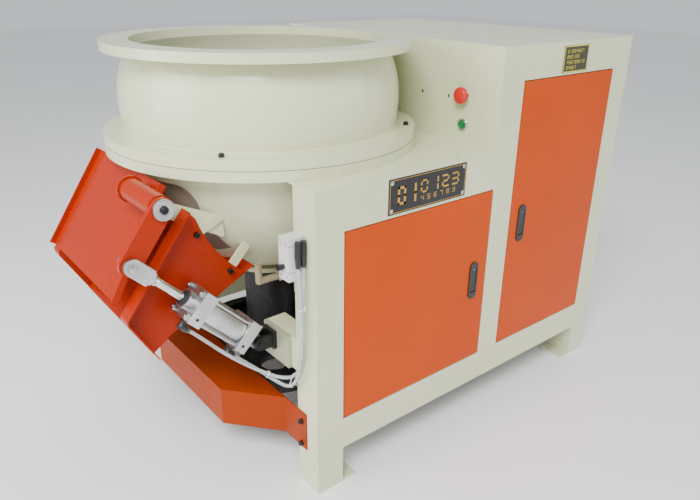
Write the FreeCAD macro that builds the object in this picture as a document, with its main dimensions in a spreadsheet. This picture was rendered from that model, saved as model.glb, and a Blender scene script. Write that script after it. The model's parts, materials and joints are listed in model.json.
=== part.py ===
"""Industrial disc finishing machine: open drum, discharge gate with an air cylinder, stepped cabinet.

+Z is up, the doors face -Y and the drum overhangs towards -X. The origin is on the floor,
in the centre of the four anchor bolts. Lengths are in millimetres.
"""
import FreeCAD, Part
import math
import os
import Sketcher

DOC = FreeCAD.newDocument("disc_finishing_machine")
SHEET = DOC.addObject("Spreadsheet::Sheet", "Dims")
NODES = {}


class Size:
    """A number together with the sheet expression that gives it."""

    def __init__(self, value, text):
        self.value = value
        self.text = text

    def __add__(self, other):
        other = as_size(other)
        return Size(self.value + other.value, "(%s + %s)" % (self.text, other.text))

    def __sub__(self, other):
        other = as_size(other)
        return Size(self.value - other.value, "(%s - %s)" % (self.text, other.text))

    def __mul__(self, other):
        other = as_size(other)
        return Size(self.value * other.value, "(%s * %s)" % (self.text, other.text))

    def __truediv__(self, other):
        other = as_size(other)
        return Size(self.value / other.value, "(%s / %s)" % (self.text, other.text))

    def __neg__(self):
        return Size(-self.value, "(0 - %s)" % self.text)

    __radd__ = __add__
    __rmul__ = __mul__

    def __rsub__(self, other):
        return as_size(other) - self


def as_size(number):
    """A plain number as a Size."""
    if isinstance(number, Size):
        return number
    return Size(float(number), "%.6f" % number)


def root(size):
    """Square root of a Size."""
    return Size(math.sqrt(size.value), "sqrt(%s)" % size.text)


def turn(rise, run):
    """Angle in degrees of a rise over a run."""
    angle = math.degrees(math.atan2(rise.value, run.value))
    return Size(angle, "(atan2(%s; %s) / 1 deg)" % (rise.text, run.text))


def dimension(name, number):
    """One driving dimension: a cell of the sheet with its alias."""
    dimension.row += 1
    cell = "B%d" % dimension.row
    SHEET.set("A%d" % dimension.row, name)
    SHEET.set(cell, str(number))
    SHEET.setAlias(cell, name)
    return Size(float(number), "Dims." + name)


dimension.row = 0

# Cabinet
cabinet_length = dimension("cabinet_length", 1091)
cabinet_depth = dimension("cabinet_depth", 881)
tall_height = dimension("tall_height", 1000)
deck_height = dimension("deck_height", 758)
low_length = dimension("low_length", 544)
sheet_thickness = dimension("sheet_thickness", 3)
leg_width = dimension("leg_width", 74)
leg_depth = dimension("leg_depth", 78)
leg_wall = dimension("leg_wall", 3)
foot_thickness = dimension("foot_thickness", 6)
foot_tab = dimension("foot_tab", 40)
anchor_hole = dimension("anchor_hole", 14)
panel_bottom = dimension("panel_bottom", 102)

# Doors
door_gap = dimension("door_gap", 2.5)
door_bottom = dimension("door_bottom", 188)
low_door_width = dimension("low_door_width", 470)
low_door_height = dimension("low_door_height", 469)
tall_door_width = dimension("tall_door_width", 387)
tall_door_height = dimension("tall_door_height", 727)
door_corner = dimension("door_corner", 6)
hinge_inset = dimension("hinge_inset", 10)
hinge_setback = dimension("hinge_setback", 7.5)
hinge_pin = dimension("hinge_pin", 6)
hinge_pin_length = dimension("hinge_pin_length", 14)
running_gap = dimension("running_gap", 0.05)
hinge_bar_width = dimension("hinge_bar_width", 15)
hinge_bar_depth = dimension("hinge_bar_depth", 10)
lock_width = dimension("lock_width", 30)
lock_height = dimension("lock_height", 104)
lock_face = dimension("lock_face", 3)
lock_depth = dimension("lock_depth", 24)
lock_inset = dimension("lock_inset", 48)
low_lock_height = dimension("low_lock_height", 423)
tall_lock_height = dimension("tall_lock_height", 541)
lock_pocket = dimension("lock_pocket", 7)
handle_width = dimension("handle_width", 18)
handle_length = dimension("handle_length", 66)
handle_thickness = dimension("handle_thickness", 5)
handle_gap = dimension("handle_gap", 0.8)

# Buttons and plates
button_setback = dimension("button_setback", 114)
stop_height = dimension("stop_height", 876)
start_height = dimension("start_height", 803)
stop_diameter = dimension("stop_diameter", 42)
stop_thickness = dimension("stop_thickness", 15)
stop_travel = dimension("stop_travel", 5)
start_diameter = dimension("start_diameter", 22)
start_thickness = dimension("start_thickness", 5)
start_travel = dimension("start_travel", 3)
bezel_diameter = dimension("bezel_diameter", 30)
bezel_thickness = dimension("bezel_thickness", 4)
button_stem = dimension("button_stem", 14)
switch_depth = dimension("switch_depth", 45)
plain_hole = dimension("plain_hole", 9)
plain_hole_height = dimension("plain_hole_height", 866)
first_hole_setback = dimension("first_hole_setback", 169)
second_hole_setback = dimension("second_hole_setback", 263)
plate_thickness = dimension("plate_thickness", 1.5)
nameplate_width = dimension("nameplate_width", 244)
nameplate_height = dimension("nameplate_height", 81)
nameplate_start = dimension("nameplate_start", 194)
nameplate_bottom = dimension("nameplate_bottom", 667)
nameplate_screw = dimension("nameplate_screw", 9)
nameplate_margin = dimension("nameplate_margin", 9)
rating_width = dimension("rating_width", 106)
rating_height = dimension("rating_height", 66)
rating_start = dimension("rating_start", 774)
rating_bottom = dimension("rating_bottom", 923)

# Drum
drum_inset = dimension("drum_inset", 157)
flange_radius = dimension("flange_radius", 384)
flange_thickness = dimension("flange_thickness", 24)
rim_radius = dimension("rim_radius", 368)
rim_thickness = dimension("rim_thickness", 21)
drum_top = dimension("drum_top", 1010)
drum_mouth = dimension("drum_mouth", 303)
neck_radius = dimension("neck_radius", 313)
barrel_radius = dimension("barrel_radius", 341)
barrel_foot = dimension("barrel_foot", 335)
barrel_peak = dimension("barrel_peak", 50)
drum_wall = dimension("drum_wall", 10)
bowl_radius = dimension("bowl_radius", 335)
bowl_rise = dimension("bowl_rise", 12)
deck_play = dimension("deck_play", 3)
window_half = dimension("window_half", 170)
window_top_drop = dimension("window_top_drop", 57)
window_bottom_drop = dimension("window_bottom_drop", 256)
bolt_head = dimension("bolt_head", 13)
bolt_height = dimension("bolt_height", 8)
flange_bolt_inset = dimension("flange_bolt_inset", 22)

# Spindle and drive
collar_neck = dimension("collar_neck", 82)
collar_radius = dimension("collar_radius", 106)
collar_bottom = dimension("collar_bottom", 428)
collar_thickness = dimension("collar_thickness", 12)
housing_flange = dimension("housing_flange", 101)
housing_flange_thickness = dimension("housing_flange_thickness", 14)
housing_radius = dimension("housing_radius", 68)
housing_bottom = dimension("housing_bottom", 226)
shaft_radius = dimension("shaft_radius", 30)
disc_radius = dimension("disc_radius", 176)
disc_gap = dimension("disc_gap", 4)
disc_top = dimension("disc_top", 498)
disc_bottom = dimension("disc_bottom", 464)
pulley_radius = dimension("pulley_radius", 237)
pulley_bottom = dimension("pulley_bottom", 140)
pulley_width = dimension("pulley_width", 56)
pulley_rim = dimension("pulley_rim", 30)
pulley_web = dimension("pulley_web", 14)
pulley_hub = dimension("pulley_hub", 52)
web_hole = dimension("web_hole", 74)
web_hole_circle = dimension("web_hole_circle", 280)
belt_width = dimension("belt_width", 12.4)
belt_height = dimension("belt_height", 8)
belt_pitch = dimension("belt_pitch", 17)
belt_gap = dimension("belt_gap", 0.5)
motor_inset = dimension("motor_inset", 588)
motor_pulley_radius = dimension("motor_pulley_radius", 62)
motor_shaft = dimension("motor_shaft", 14)
motor_rail_width = dimension("motor_rail_width", 20)
motor_rail_height = dimension("motor_rail_height", 40)
motor_rail_bottom = dimension("motor_rail_bottom", 204)
motor_rail_spacing = dimension("motor_rail_spacing", 52)
motor_plate_size = dimension("motor_plate_size", 230)
motor_plate_thickness = dimension("motor_plate_thickness", 10)
motor_radius = dimension("motor_radius", 88)
motor_flange_radius = dimension("motor_flange_radius", 100)
motor_length = dimension("motor_length", 270)

# Discharge gate and chute: drops below the seam, and distances out from the bowl's side
hinge_out = dimension("hinge_out", 62)
hinge_drop = dimension("hinge_drop", 54)
gate_shaft_radius = dimension("gate_shaft_radius", 15)
lug_drop = dimension("lug_drop", 25)
lug_thickness = dimension("lug_thickness", 7)
hinge_tube_radius = dimension("hinge_tube_radius", 25)
flap_top_out = dimension("flap_top_out", 16)
flap_top_drop = dimension("flap_top_drop", 37)
flap_bottom_out = dimension("flap_bottom_out", 155)
flap_bottom_drop = dimension("flap_bottom_drop", 260)
flap_lip = dimension("flap_lip", 12)
flap_top_half = dimension("flap_top_half", 184)
flap_spread = dimension("flap_spread", 28)
hinge_span = dimension("hinge_span", 146)
arm_offset = dimension("arm_offset", 80)
arm_thickness = dimension("arm_thickness", 8)
plug_gap = dimension("plug_gap", 2.5)
plug_recess = dimension("plug_recess", 2)
plug_thickness = dimension("plug_thickness", 14)
plug_corner = dimension("plug_corner", 38)
chute_half = dimension("chute_half", 210)
lip_width = dimension("lip_width", 35)
lip_corner = dimension("lip_corner", 14)
chute_top_in = dimension("chute_top_in", 4)
chute_top_drop = dimension("chute_top_drop", 82)
chute_tip_out = dimension("chute_tip_out", 155)
chute_tip_drop = dimension("chute_tip_drop", 288)
chute_outlet_out = dimension("chute_outlet_out", 94)
chute_outlet_drop = dimension("chute_outlet_drop", 397)
chute_bend_out = dimension("chute_bend_out", 52)
chute_bend_drop = dimension("chute_bend_drop", 366)
chute_inner_in = dimension("chute_inner_in", 111)
chute_inner_drop = dimension("chute_inner_drop", 284)
chute_arc_in = dimension("chute_arc_in", 15)
tab_width = dimension("tab_width", 22)
tab_inner = dimension("tab_inner", 240)
tab_upper_slope = dimension("tab_upper_slope", 0.445)
tab_lower_slope = dimension("tab_lower_slope", 1.04)
tab_thickness = dimension("tab_thickness", 6)
tab_bolt_inset = dimension("tab_bolt_inset", 14)
lever_offset = dimension("lever_offset", 265)
lever_thickness = dimension("lever_thickness", 12)
lever_width = dimension("lever_width", 46)
lever_out = dimension("lever_out", 138)
lever_drop = dimension("lever_drop", 154)
pin_radius = dimension("pin_radius", 8)
pin_play = dimension("pin_play", 2.4)
washer_radius = dimension("washer_radius", 22)
washer_thickness = dimension("washer_thickness", 7)

# Air cylinder
rear_pivot_reach = dimension("rear_pivot_reach", 204)
rear_pivot_drop = dimension("rear_pivot_drop", 423)
cap_size = dimension("cap_size", 75)
rear_cap_start = dimension("rear_cap_start", 42)
rear_cap_length = dimension("rear_cap_length", 30)
barrel_length = dimension("barrel_length", 112)
front_cap_length = dimension("front_cap_length", 34)
cylinder_barrel = dimension("cylinder_barrel", 34)
nose_radius = dimension("nose_radius", 22)
nose_length = dimension("nose_length", 18)
tie_rod = dimension("tie_rod", 4)
tie_rod_spread = dimension("tie_rod_spread", 56)
tie_nut = dimension("tie_nut", 7)
rod_radius = dimension("rod_radius", 10)
fork_length = dimension("fork_length", 64)
fork_width = dimension("fork_width", 36)
fork_gap = dimension("fork_gap", 1.5)
nut_radius = dimension("nut_radius", 15)
nut_length = dimension("nut_length", 10)
ear_thickness = dimension("ear_thickness", 10)
ear_radius = dimension("ear_radius", 16)
tongue_thickness = dimension("tongue_thickness", 20)
bracket_inset = dimension("bracket_inset", 4)
bracket_width = dimension("bracket_width", 50)
bracket_bottom = dimension("bracket_bottom", 305)
bracket_height = dimension("bracket_height", 84)
bracket_length = dimension("bracket_length", 128)
bracket_plate_thickness = dimension("bracket_plate_thickness", 10)

# Pulley guard
guard_reach = dimension("guard_reach", 106)
guard_top = dimension("guard_top", 207)
guard_bottom = dimension("guard_bottom", 106)
guard_outer_half = dimension("guard_outer_half", 184)
guard_ear_half = dimension("guard_ear_half", 306)
guard_end_half = dimension("guard_end_half", 398)
guard_bolt_inset = dimension("guard_bolt_inset", 17)
guard_bolt_low = dimension("guard_bolt_low", 12)
guard_bolt_high = dimension("guard_bolt_high", 75)

# Air supply and drain
valve_setback = dimension("valve_setback", 40)
valve_width = dimension("valve_width", 36)
valve_bottom = dimension("valve_bottom", 560)
valve_height = dimension("valve_height", 95)
valve_reach = dimension("valve_reach", 40)
fitting_radius = dimension("fitting_radius", 7)
fitting_length = dimension("fitting_length", 30)
tube_radius = dimension("tube_radius", 4)
elbow_radius = dimension("elbow_radius", 8)
drain_radius = dimension("drain_radius", 9)
drain_height = dimension("drain_height", 430)
drain_length = dimension("drain_length", 60)
drain_inset = dimension("drain_inset", 106)
drain_offset = dimension("drain_offset", 123)
union_radius = dimension("union_radius", 14)

SHEET.recompute()

# Reference planes and points
LEFT = -cabinet_length / 2
RIGHT = cabinet_length / 2
FRONT = -cabinet_depth / 2
BACK = cabinet_depth / 2
STEP = LEFT + low_length
AXIS = LEFT + drum_inset
ZERO = as_size(0)
SEAM = deck_height + flange_thickness
BOWL_CENTRE = deck_height + bowl_rise
ARC_RADIUS = bowl_radius - chute_arc_in
hinge_height = SEAM - hinge_drop
flap_top_height = SEAM - flap_top_drop
flap_bottom_height = SEAM - flap_bottom_drop
chute_top_height = SEAM - chute_top_drop
chute_tip_height = SEAM - chute_tip_drop
chute_outlet_height = SEAM - chute_outlet_drop
chute_bend_height = SEAM - chute_bend_drop
chute_inner_height = SEAM - chute_inner_drop
lever_height = SEAM - lever_drop
rear_pivot_height = SEAM - rear_pivot_drop
window_top = SEAM - window_top_drop
window_bottom = SEAM - window_bottom_drop
hinge_reach = bowl_radius + hinge_out
flap_top_reach = bowl_radius + flap_top_out
flap_bottom_reach = bowl_radius + flap_bottom_out
chute_top_reach = bowl_radius - chute_top_in
chute_tip_reach = bowl_radius + chute_tip_out
chute_outlet_reach = bowl_radius + chute_outlet_out
chute_bend_reach = bowl_radius + chute_bend_out
chute_inner_reach = bowl_radius - chute_inner_in
lever_reach = bowl_radius + lever_out
DIRECTION = {
    "X": FreeCAD.Rotation(FreeCAD.Vector(0, 1, 0), 90),
    "Y": FreeCAD.Rotation(FreeCAD.Vector(1, 0, 0), -90),
    "Z": FreeCAD.Rotation(),
}


def place(item, x, y, z):
    """Bind an object's position to the sheet."""
    sizes = [as_size(v) for v in (x, y, z)]
    item.Placement.Base = FreeCAD.Vector(*[v.value for v in sizes])
    for axis, size in zip("xyz", sizes):
        item.setExpression("Placement.Base." + axis, size.text)


def bind(item, field, size):
    """Bind one property to the sheet."""
    size = as_size(size)
    setattr(item, field, size.value)
    item.setExpression(field, size.text)


def box(name, x, y, z):
    """A block between two planes on each axis."""
    item = DOC.addObject("Part::Box", name)
    for field, (low, high) in zip(("Length", "Width", "Height"), (x, y, z)):
        bind(item, field, as_size(high) - low)
    place(item, x[0], y[0], z[0])
    return item


def rod(name, radius, direction, centre, span):
    """A round bar along X, Y or Z; centre holds its two other coordinates."""
    item = DOC.addObject("Part::Cylinder", name)
    bind(item, "Radius", radius)
    bind(item, "Height", as_size(span[1]) - span[0])
    item.Placement.Rotation = DIRECTION[direction]
    base = list(centre)
    base.insert("XYZ".index(direction), span[0])
    place(item, *base)
    return item


def ball(name, radius):
    """A sphere about the bowl's centre."""
    item = DOC.addObject("Part::Sphere", name)
    bind(item, "Radius", radius)
    place(item, AXIS, ZERO, BOWL_CENTRE)
    return item


def cut(name, base, tool):
    """The base without the tool."""
    item = DOC.addObject("Part::Cut", name)
    item.Base = base
    item.Tool = tool
    return item


def common(name, base, tool):
    """What the base and the tool share."""
    item = DOC.addObject("Part::Common", name)
    item.Base = base
    item.Tool = tool
    return item


def fuse(name, pieces):
    """Pieces joined into one solid."""
    item = DOC.addObject("Part::MultiFuse", name)
    item.Shapes = pieces
    item.Refine = True
    return item


def group(name, pieces):
    """Separate solids kept as one sub-part."""
    item = DOC.addObject("Part::Compound", name)
    item.Links = pieces
    return item


def node(name, item):
    """Register a finished sub-part under its own name."""
    item.Label = name
    NODES[name] = item
    return item


def draw(body, name, plane, loops):
    """Sketch closed loops of corners; a corner given as three points bends through the middle one."""
    sketch = body.newObject("Sketcher::SketchObject", name)
    support = [f for f in body.Origin.OriginFeatures if f.Role == plane][0]
    sketch.AttachmentSupport = (support, "")
    sketch.MapMode = "FlatFace"
    for loop in loops:
        draw_loop(sketch, loop)
    return sketch


def pin_point(sketch, geometry, vertex, corner):
    """Fix a sketch point at a corner bound to the sheet."""
    for kind, size in zip(("DistanceX", "DistanceY"), corner):
        size = as_size(size)
        constraint = Sketcher.Constraint(kind, -1, 1, geometry, vertex, size.value)
        index = sketch.addConstraint(constraint)
        sketch.setExpression("Constraints[%d]" % index, size.text)


def draw_loop(sketch, loop):
    """Lines, and arcs where an entry is (middle point, corner), through the corners in turn."""
    corners = [entry[1] if isinstance(entry[0], tuple) else entry for entry in loop]
    middles = [entry[0] if isinstance(entry[0], tuple) else None for entry in loop]
    points = [FreeCAD.Vector(as_size(x).value, as_size(y).value, 0) for x, y in corners]
    first = sketch.GeometryCount
    starts = []
    for i, point in enumerate(points):
        after = points[(i + 1) % len(points)]
        middle = middles[(i + 1) % len(points)]
        if middle is None:
            sketch.addGeometry(Part.LineSegment(point, after), False)
            starts.append(1)
        else:
            through = FreeCAD.Vector(as_size(middle[0]).value, as_size(middle[1]).value, 0)
            centre = Part.Arc(point, through, after).toShape().Curve.Center
            clockwise = (through - point).cross(after - through).z < 0
            ends = (after, point) if clockwise else (point, after)
            angles = [math.atan2(v.y - centre.y, v.x - centre.x) for v in ends]
            circle = Part.Circle(centre, FreeCAD.Vector(0, 0, 1), centre.distanceToPoint(point))
            sketch.addGeometry(Part.ArcOfCircle(circle, angles[0], angles[1]), False)
            starts.append(2 if clockwise else 1)
    for i, corner in enumerate(corners):
        previous = (i - 1) % len(points)
        end = 3 - starts[previous]
        sketch.addConstraint(Sketcher.Constraint("Coincident", first + previous, end, first + i, starts[i]))
        pin_point(sketch, first + i, starts[i], corner)
    for i, middle in enumerate(middles):
        if middle is not None:
            at = FreeCAD.Vector(as_size(middle[0]).value, as_size(middle[1]).value, 0)
            extra = sketch.addGeometry(Part.Point(at), True)
            arc_index = first + (i - 1) % len(points)
            sketch.addConstraint(Sketcher.Constraint("PointOnObject", extra, 1, arc_index))
            pin_point(sketch, extra, 1, middle)


def plate(name, plane, loops, low, high, corners=(), radius=None):
    """A flat piece: loops in a plane, thick from low to high; named corners are rounded."""
    body = DOC.addObject("PartDesign::Body", name)
    sketch = draw(body, name + "_outline", plane, loops)
    pad = body.newObject("PartDesign::Pad", name + "_pad")
    pad.Profile = sketch
    bind(pad, "Length", as_size(high) - low)
    pad.Reversed = plane == "XZ_Plane"
    offset = {"XY_Plane": (0, 0, low), "XZ_Plane": (0, low, 0), "YZ_Plane": (low, 0, 0)}[plane]
    place(body, *offset)
    if corners:
        sketch.recompute()
        pad.recompute()
        fillet = body.newObject("PartDesign::Fillet", name + "_rounding")
        fillet.Base = (pad, corner_edges(pad.Shape, plane, corners))
        bind(fillet, "Radius", radius)
        body.Tip = fillet
    return body


def corner_edges(shape, plane, corners):
    """Names of the edges that run through the plate at the given corners."""
    axes = {"XY_Plane": (0, 1, 2), "XZ_Plane": (0, 2, 1), "YZ_Plane": (1, 2, 0)}[plane]
    found = []
    for number, edge in enumerate(shape.Edges, 1):
        start, end = edge.Vertexes[0].Point, edge.Vertexes[-1].Point
        through = abs(start[axes[2]] - end[axes[2]]) > 0.01
        for corner in corners:
            here = [as_size(v).value for v in corner]
            near = all(
                abs(point[axes[k]] - here[k]) < 0.01 for point in (start, end) for k in (0, 1)
            )
            if through and near:
                found.append("Edge%d" % number)
    return found


def turned(name, loop):
    """A round piece: a loop of (radius, height) corners turned about the drum's axis."""
    body = DOC.addObject("PartDesign::Body", name)
    sketch = draw(body, name + "_profile", "XZ_Plane", [loop])
    revolution = body.newObject("PartDesign::Revolution", name + "_turn")
    revolution.Profile = sketch
    revolution.ReferenceAxis = (sketch, ["V_Axis"])
    revolution.Angle = 360
    place(body, AXIS, ZERO, ZERO)
    return body


def rectangle(x, y):
    """Four corners of a rectangle between two planes on each axis."""
    return [(x[0], y[0]), (x[1], y[0]), (x[1], y[1]), (x[0], y[1])]


def shape_piece(name, shape):
    """A sub-part whose shape is worked out in code from the sheet's sizes."""
    item = DOC.addObject("Part::Feature", name)
    item.Shape = shape
    return item


# Cabinet

LEG_TOP_LOW = deck_height - sheet_thickness
LEG_TOP_TALL = tall_height - sheet_thickness
LOW_DOOR_LEFT = LEFT + leg_width + door_gap
LOW_DOOR_RIGHT = LOW_DOOR_LEFT + low_door_width
TALL_DOOR_RIGHT = RIGHT - leg_width - door_gap
TALL_DOOR_LEFT = TALL_DOOR_RIGHT - tall_door_width
LOW_DOOR_TOP = door_bottom + low_door_height
TALL_DOOR_TOP = door_bottom + tall_door_height


def make_leg(name, x, y, top):
    """One square tube leg standing on its foot plate."""
    outer = box(name + "_outer", x, y, (foot_thickness, top))
    inner_x = (x[0] + leg_wall, x[1] - leg_wall)
    inner_y = (y[0] + leg_wall, y[1] - leg_wall)
    inner = box(name + "_inner", inner_x, inner_y, (foot_thickness, top))
    return cut(name, outer, inner)


def make_legs():
    """Four legs: low ones under the deck, tall ones at the right."""
    left_x = (LEFT, LEFT + leg_width)
    right_x = (RIGHT - leg_width, RIGHT)
    front_y = (FRONT, FRONT + leg_depth)
    back_y = (BACK - leg_depth, BACK)
    node("front_left_leg", make_leg("front_left_leg", left_x, front_y, LEG_TOP_LOW))
    node("front_right_leg", make_leg("front_right_leg", right_x, front_y, LEG_TOP_TALL))
    node("back_left_leg", make_leg("back_left_leg", left_x, back_y, LEG_TOP_LOW))
    node("back_right_leg", make_leg("back_right_leg", right_x, back_y, LEG_TOP_TALL))


def make_foot_plates():
    """A foot plate under each leg, with an anchor hole in the tab beside it."""
    plates = []
    for side, x in (("left", LEFT), ("right", RIGHT)):
        for end, y in (("front", FRONT), ("back", BACK)):
            name = "foot_%s_%s" % (end, side)
            reach = leg_width + foot_tab
            span_x = (x, x + reach) if side == "left" else (x - reach, x)
            span_y = (y, y + leg_depth) if end == "front" else (y - leg_depth, y)
            hole_x = x + leg_width + foot_tab / 2 if side == "left" else x - leg_width - foot_tab / 2
            hole_y = y + leg_depth / 2 if end == "front" else y - leg_depth / 2
            base = box(name + "_plate", span_x, span_y, (ZERO, foot_thickness))
            hole = rod(name + "_hole", anchor_hole / 2, "Z", (hole_x, hole_y), (ZERO, foot_thickness))
            plates.append(cut(name, base, hole))
    node("foot_plates", group("foot_plates", plates))


def make_front_panel():
    """Front sheet between the legs, with an opening for each door."""
    left = LEFT + leg_width
    right = RIGHT - leg_width
    outline = [
        (left, panel_bottom), (right, panel_bottom), (right, LEG_TOP_TALL),
        (STEP, LEG_TOP_TALL), (STEP, LEG_TOP_LOW), (left, LEG_TOP_LOW),
    ]
    panel = plate("front_panel", "XZ_Plane", [outline], FRONT, FRONT + sheet_thickness)
    gap_y = (FRONT - 1, FRONT + sheet_thickness + 1)
    low = box("low_opening", (left - 1, LOW_DOOR_RIGHT + door_gap), gap_y,
              (door_bottom - door_gap, LOW_DOOR_TOP + door_gap))
    tall = box("tall_opening", (TALL_DOOR_LEFT - door_gap, right + 1), gap_y,
               (door_bottom - door_gap, TALL_DOOR_TOP + door_gap))
    node("front_panel", cut("front_panel_cut", panel, group("door_openings", [low, tall])))


def make_back_panel():
    """Back sheet between the legs, with the same step as the front."""
    left = LEFT + leg_width
    right = RIGHT - leg_width
    outline = [
        (left, panel_bottom), (right, panel_bottom), (right, LEG_TOP_TALL),
        (STEP, LEG_TOP_TALL), (STEP, LEG_TOP_LOW), (left, LEG_TOP_LOW),
    ]
    node("back_panel", plate("back_panel", "XZ_Plane", [outline], BACK - sheet_thickness, BACK))


def make_side_panels():
    """Right side sheet, the step's face with its holes, and the tall section's top."""
    y = (FRONT + leg_depth, BACK - leg_depth)
    node("right_panel", box("right_panel", (RIGHT - sheet_thickness, RIGHT), y, (panel_bottom, LEG_TOP_TALL)))
    face_y = (FRONT + sheet_thickness, BACK - sheet_thickness)
    face = box("step_sheet", (STEP, STEP + sheet_thickness), face_y, (LEG_TOP_LOW, LEG_TOP_TALL))
    holes = []
    through = (STEP - 1, STEP + sheet_thickness + 1)
    for name, setback in (("first_hole", first_hole_setback), ("second_hole", second_hole_setback)):
        centre = (FRONT + setback, plain_hole_height)
        holes.append(rod(name, plain_hole / 2, "X", centre, through))
    for name, height in (("stop_hole", stop_height), ("start_hole", start_height)):
        holes.append(rod(name, button_stem, "X", (FRONT + button_setback, height), through))
    node("step_panel", cut("step_panel", face, group("step_holes", holes)))
    top_z = (LEG_TOP_TALL, tall_height)
    node("top_cover", box("top_cover", (STEP, RIGHT), (FRONT, BACK), top_z))


def make_deck():
    """Deck plate with a deep cut-out, open to the left, that the bowl hangs in."""
    sheet = box("deck_sheet", (LEFT, STEP), (FRONT, BACK), (LEG_TOP_LOW, deck_height))
    radius = bowl_radius + deck_play
    z = (LEG_TOP_LOW - 1, deck_height + 1)
    round_end = rod("deck_round", radius, "Z", (AXIS, ZERO), z)
    slot = box("deck_slot", (LEFT - 1, AXIS), (-radius, radius), z)
    node("deck", cut("deck", sheet, fuse("deck_opening", [round_end, slot])))


# Doors

def make_door(name, x, z, hinge_side, lock_x, lock_z):
    """A flush door: face sheet, hinge bar bored at both ends, and the hole for its lock."""
    corners = rectangle(x, z)
    face = plate(name + "_face", "XZ_Plane", [corners], FRONT, FRONT + sheet_thickness, corners, door_corner)
    edge = door_gap
    if hinge_side == "left":
        bar_x = (x[0] + edge, x[0] + edge + hinge_bar_width)
        axis_x = x[0] + hinge_inset
    else:
        bar_x = (x[1] - edge - hinge_bar_width, x[1] - edge)
        axis_x = x[1] - hinge_inset
    axis_y = FRONT + hinge_setback
    bar_y = (FRONT + sheet_thickness, FRONT + sheet_thickness + hinge_bar_depth)
    bar = box(name + "_bar", bar_x, bar_y, (z[0] + edge, z[1] - edge))
    tools = []
    for end, span in (
        ("lower", (z[0], z[0] + hinge_pin_length + 1)),
        ("upper", (z[1] - hinge_pin_length - 1, z[1])),
    ):
        tools.append(rod(name + "_bore_" + end, hinge_pin / 2 + running_gap, "Z", (axis_x, axis_y), span))
    hole_x = (lock_x - lock_width / 2 + lock_face, lock_x + lock_width / 2 - lock_face)
    half = lock_height / 2 - lock_face
    tools.append(box(name + "_lock_hole", hole_x, (FRONT - 1, FRONT + lock_depth), (lock_z - half, lock_z + half)))
    solid = fuse(name + "_solid", [face, bar])
    node(name, cut(name + "_cut", solid, group(name + "_bores", tools)))
    pivots = []
    for end, plane, inward in (("lower", z[0] - door_gap, 1), ("upper", z[1] + door_gap, -1)):
        hand = 1 if hinge_side == "left" else -1
        pivots.append(make_pivot(name + "_pivot_" + end, axis_x, axis_y, plane, inward, hand))
    return pivots


def make_pivot(name, axis_x, axis_y, plane, inward, hand):
    """A pivot bracket behind the door frame, with its pin reaching into the door's hinge bar."""
    near, far = axis_x - hinge_inset * hand, axis_x + hinge_bar_width * hand
    x = (near, far) if hand > 0 else (far, near)
    y = (FRONT + sheet_thickness, FRONT + sheet_thickness + hinge_bar_depth * 2)
    outside = plane - sheet_thickness * inward
    z = (outside, plane) if inward > 0 else (plane, outside)
    bracket = box(name + "_bracket", x, y, z)
    tip = plane + (hinge_pin_length + door_gap) * inward
    span = (outside, tip) if inward > 0 else (tip, outside)
    pin = rod(name + "_pin", hinge_pin / 2, "Z", (axis_x, axis_y), span)
    return fuse(name, [bracket, pin])


def slot_block(name, centre_x, centre_z, width, height, y):
    """A block with fully rounded ends, standing upright in the door."""
    half = (height - width) / 2
    radius = width / 2
    middle = box(name + "_middle", (centre_x - radius, centre_x + radius), y, (centre_z - half, centre_z + half))
    lower = rod(name + "_lower", radius, "Y", (centre_x, centre_z - half), y)
    upper = rod(name + "_upper", radius, "Y", (centre_x, centre_z + half), y)
    return fuse(name, [middle, lower, upper])


def make_lock(side, lock_x, lock_z):
    """A flush lever lock: body with its face plate, and the lever in the body's pocket."""
    name = side + "_lock"
    face = slot_block(name + "_face", lock_x, lock_z, lock_width, lock_height, (FRONT - lock_face, FRONT))
    half_x = lock_width / 2 - lock_face
    half_z = lock_height / 2 - lock_face
    well = box(name + "_well", (lock_x - half_x, lock_x + half_x), (FRONT, FRONT + lock_depth),
               (lock_z - half_z, lock_z + half_z))
    pocket_half_x = handle_width / 2 + handle_gap
    pocket_half_z = handle_length / 2 + handle_gap
    pocket = box(name + "_pocket", (lock_x - pocket_half_x, lock_x + pocket_half_x),
                 (FRONT - lock_face - 1, FRONT - lock_face + lock_pocket),
                 (lock_z - pocket_half_z, lock_z + pocket_half_z))
    hinge_z = lock_z - handle_length / 2 + handle_thickness / 2
    hinge_y = FRONT - lock_face + handle_gap + handle_thickness / 2
    pin = rod(name + "_pin", 1.5, "X", (hinge_y, hinge_z), (lock_x - half_x, lock_x + half_x))
    body = cut(name + "_hollow", fuse(name + "_body", [face, well]), pocket)
    node(name, fuse(name + "_whole", [body, pin]))
    handle = side + "_handle"
    y = (hinge_y - handle_thickness / 2, hinge_y + handle_thickness / 2)
    x = (lock_x - handle_width / 2, lock_x + handle_width / 2)
    leaf = box(handle + "_leaf", x, y, (hinge_z, lock_z + handle_length / 2))
    knuckle = rod(handle + "_knuckle", handle_thickness / 2, "X", (hinge_y, hinge_z), x)
    bore = rod(handle + "_bore", 1.5 + running_gap, "X", (hinge_y, hinge_z), (x[0] - 1, x[1] + 1))
    node(handle, cut(handle, fuse(handle + "_solid", [leaf, knuckle]), bore))


def make_doors():
    """Both doors with their locks, and the pivots that carry them."""
    low_x = (LOW_DOOR_LEFT, LOW_DOOR_RIGHT)
    tall_x = (TALL_DOOR_LEFT, TALL_DOOR_RIGHT)
    low_lock_x = LOW_DOOR_RIGHT - lock_inset
    tall_lock_x = TALL_DOOR_LEFT + lock_inset
    pivots = make_door("left_door", low_x, (door_bottom, LOW_DOOR_TOP), "left", low_lock_x, low_lock_height)
    pivots += make_door("right_door", tall_x, (door_bottom, TALL_DOOR_TOP), "right", tall_lock_x, tall_lock_height)
    make_lock("left", low_lock_x, low_lock_height)
    make_lock("right", tall_lock_x, tall_lock_height)
    node("door_pivots", group("door_pivots", pivots))


# Buttons and plates

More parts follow.
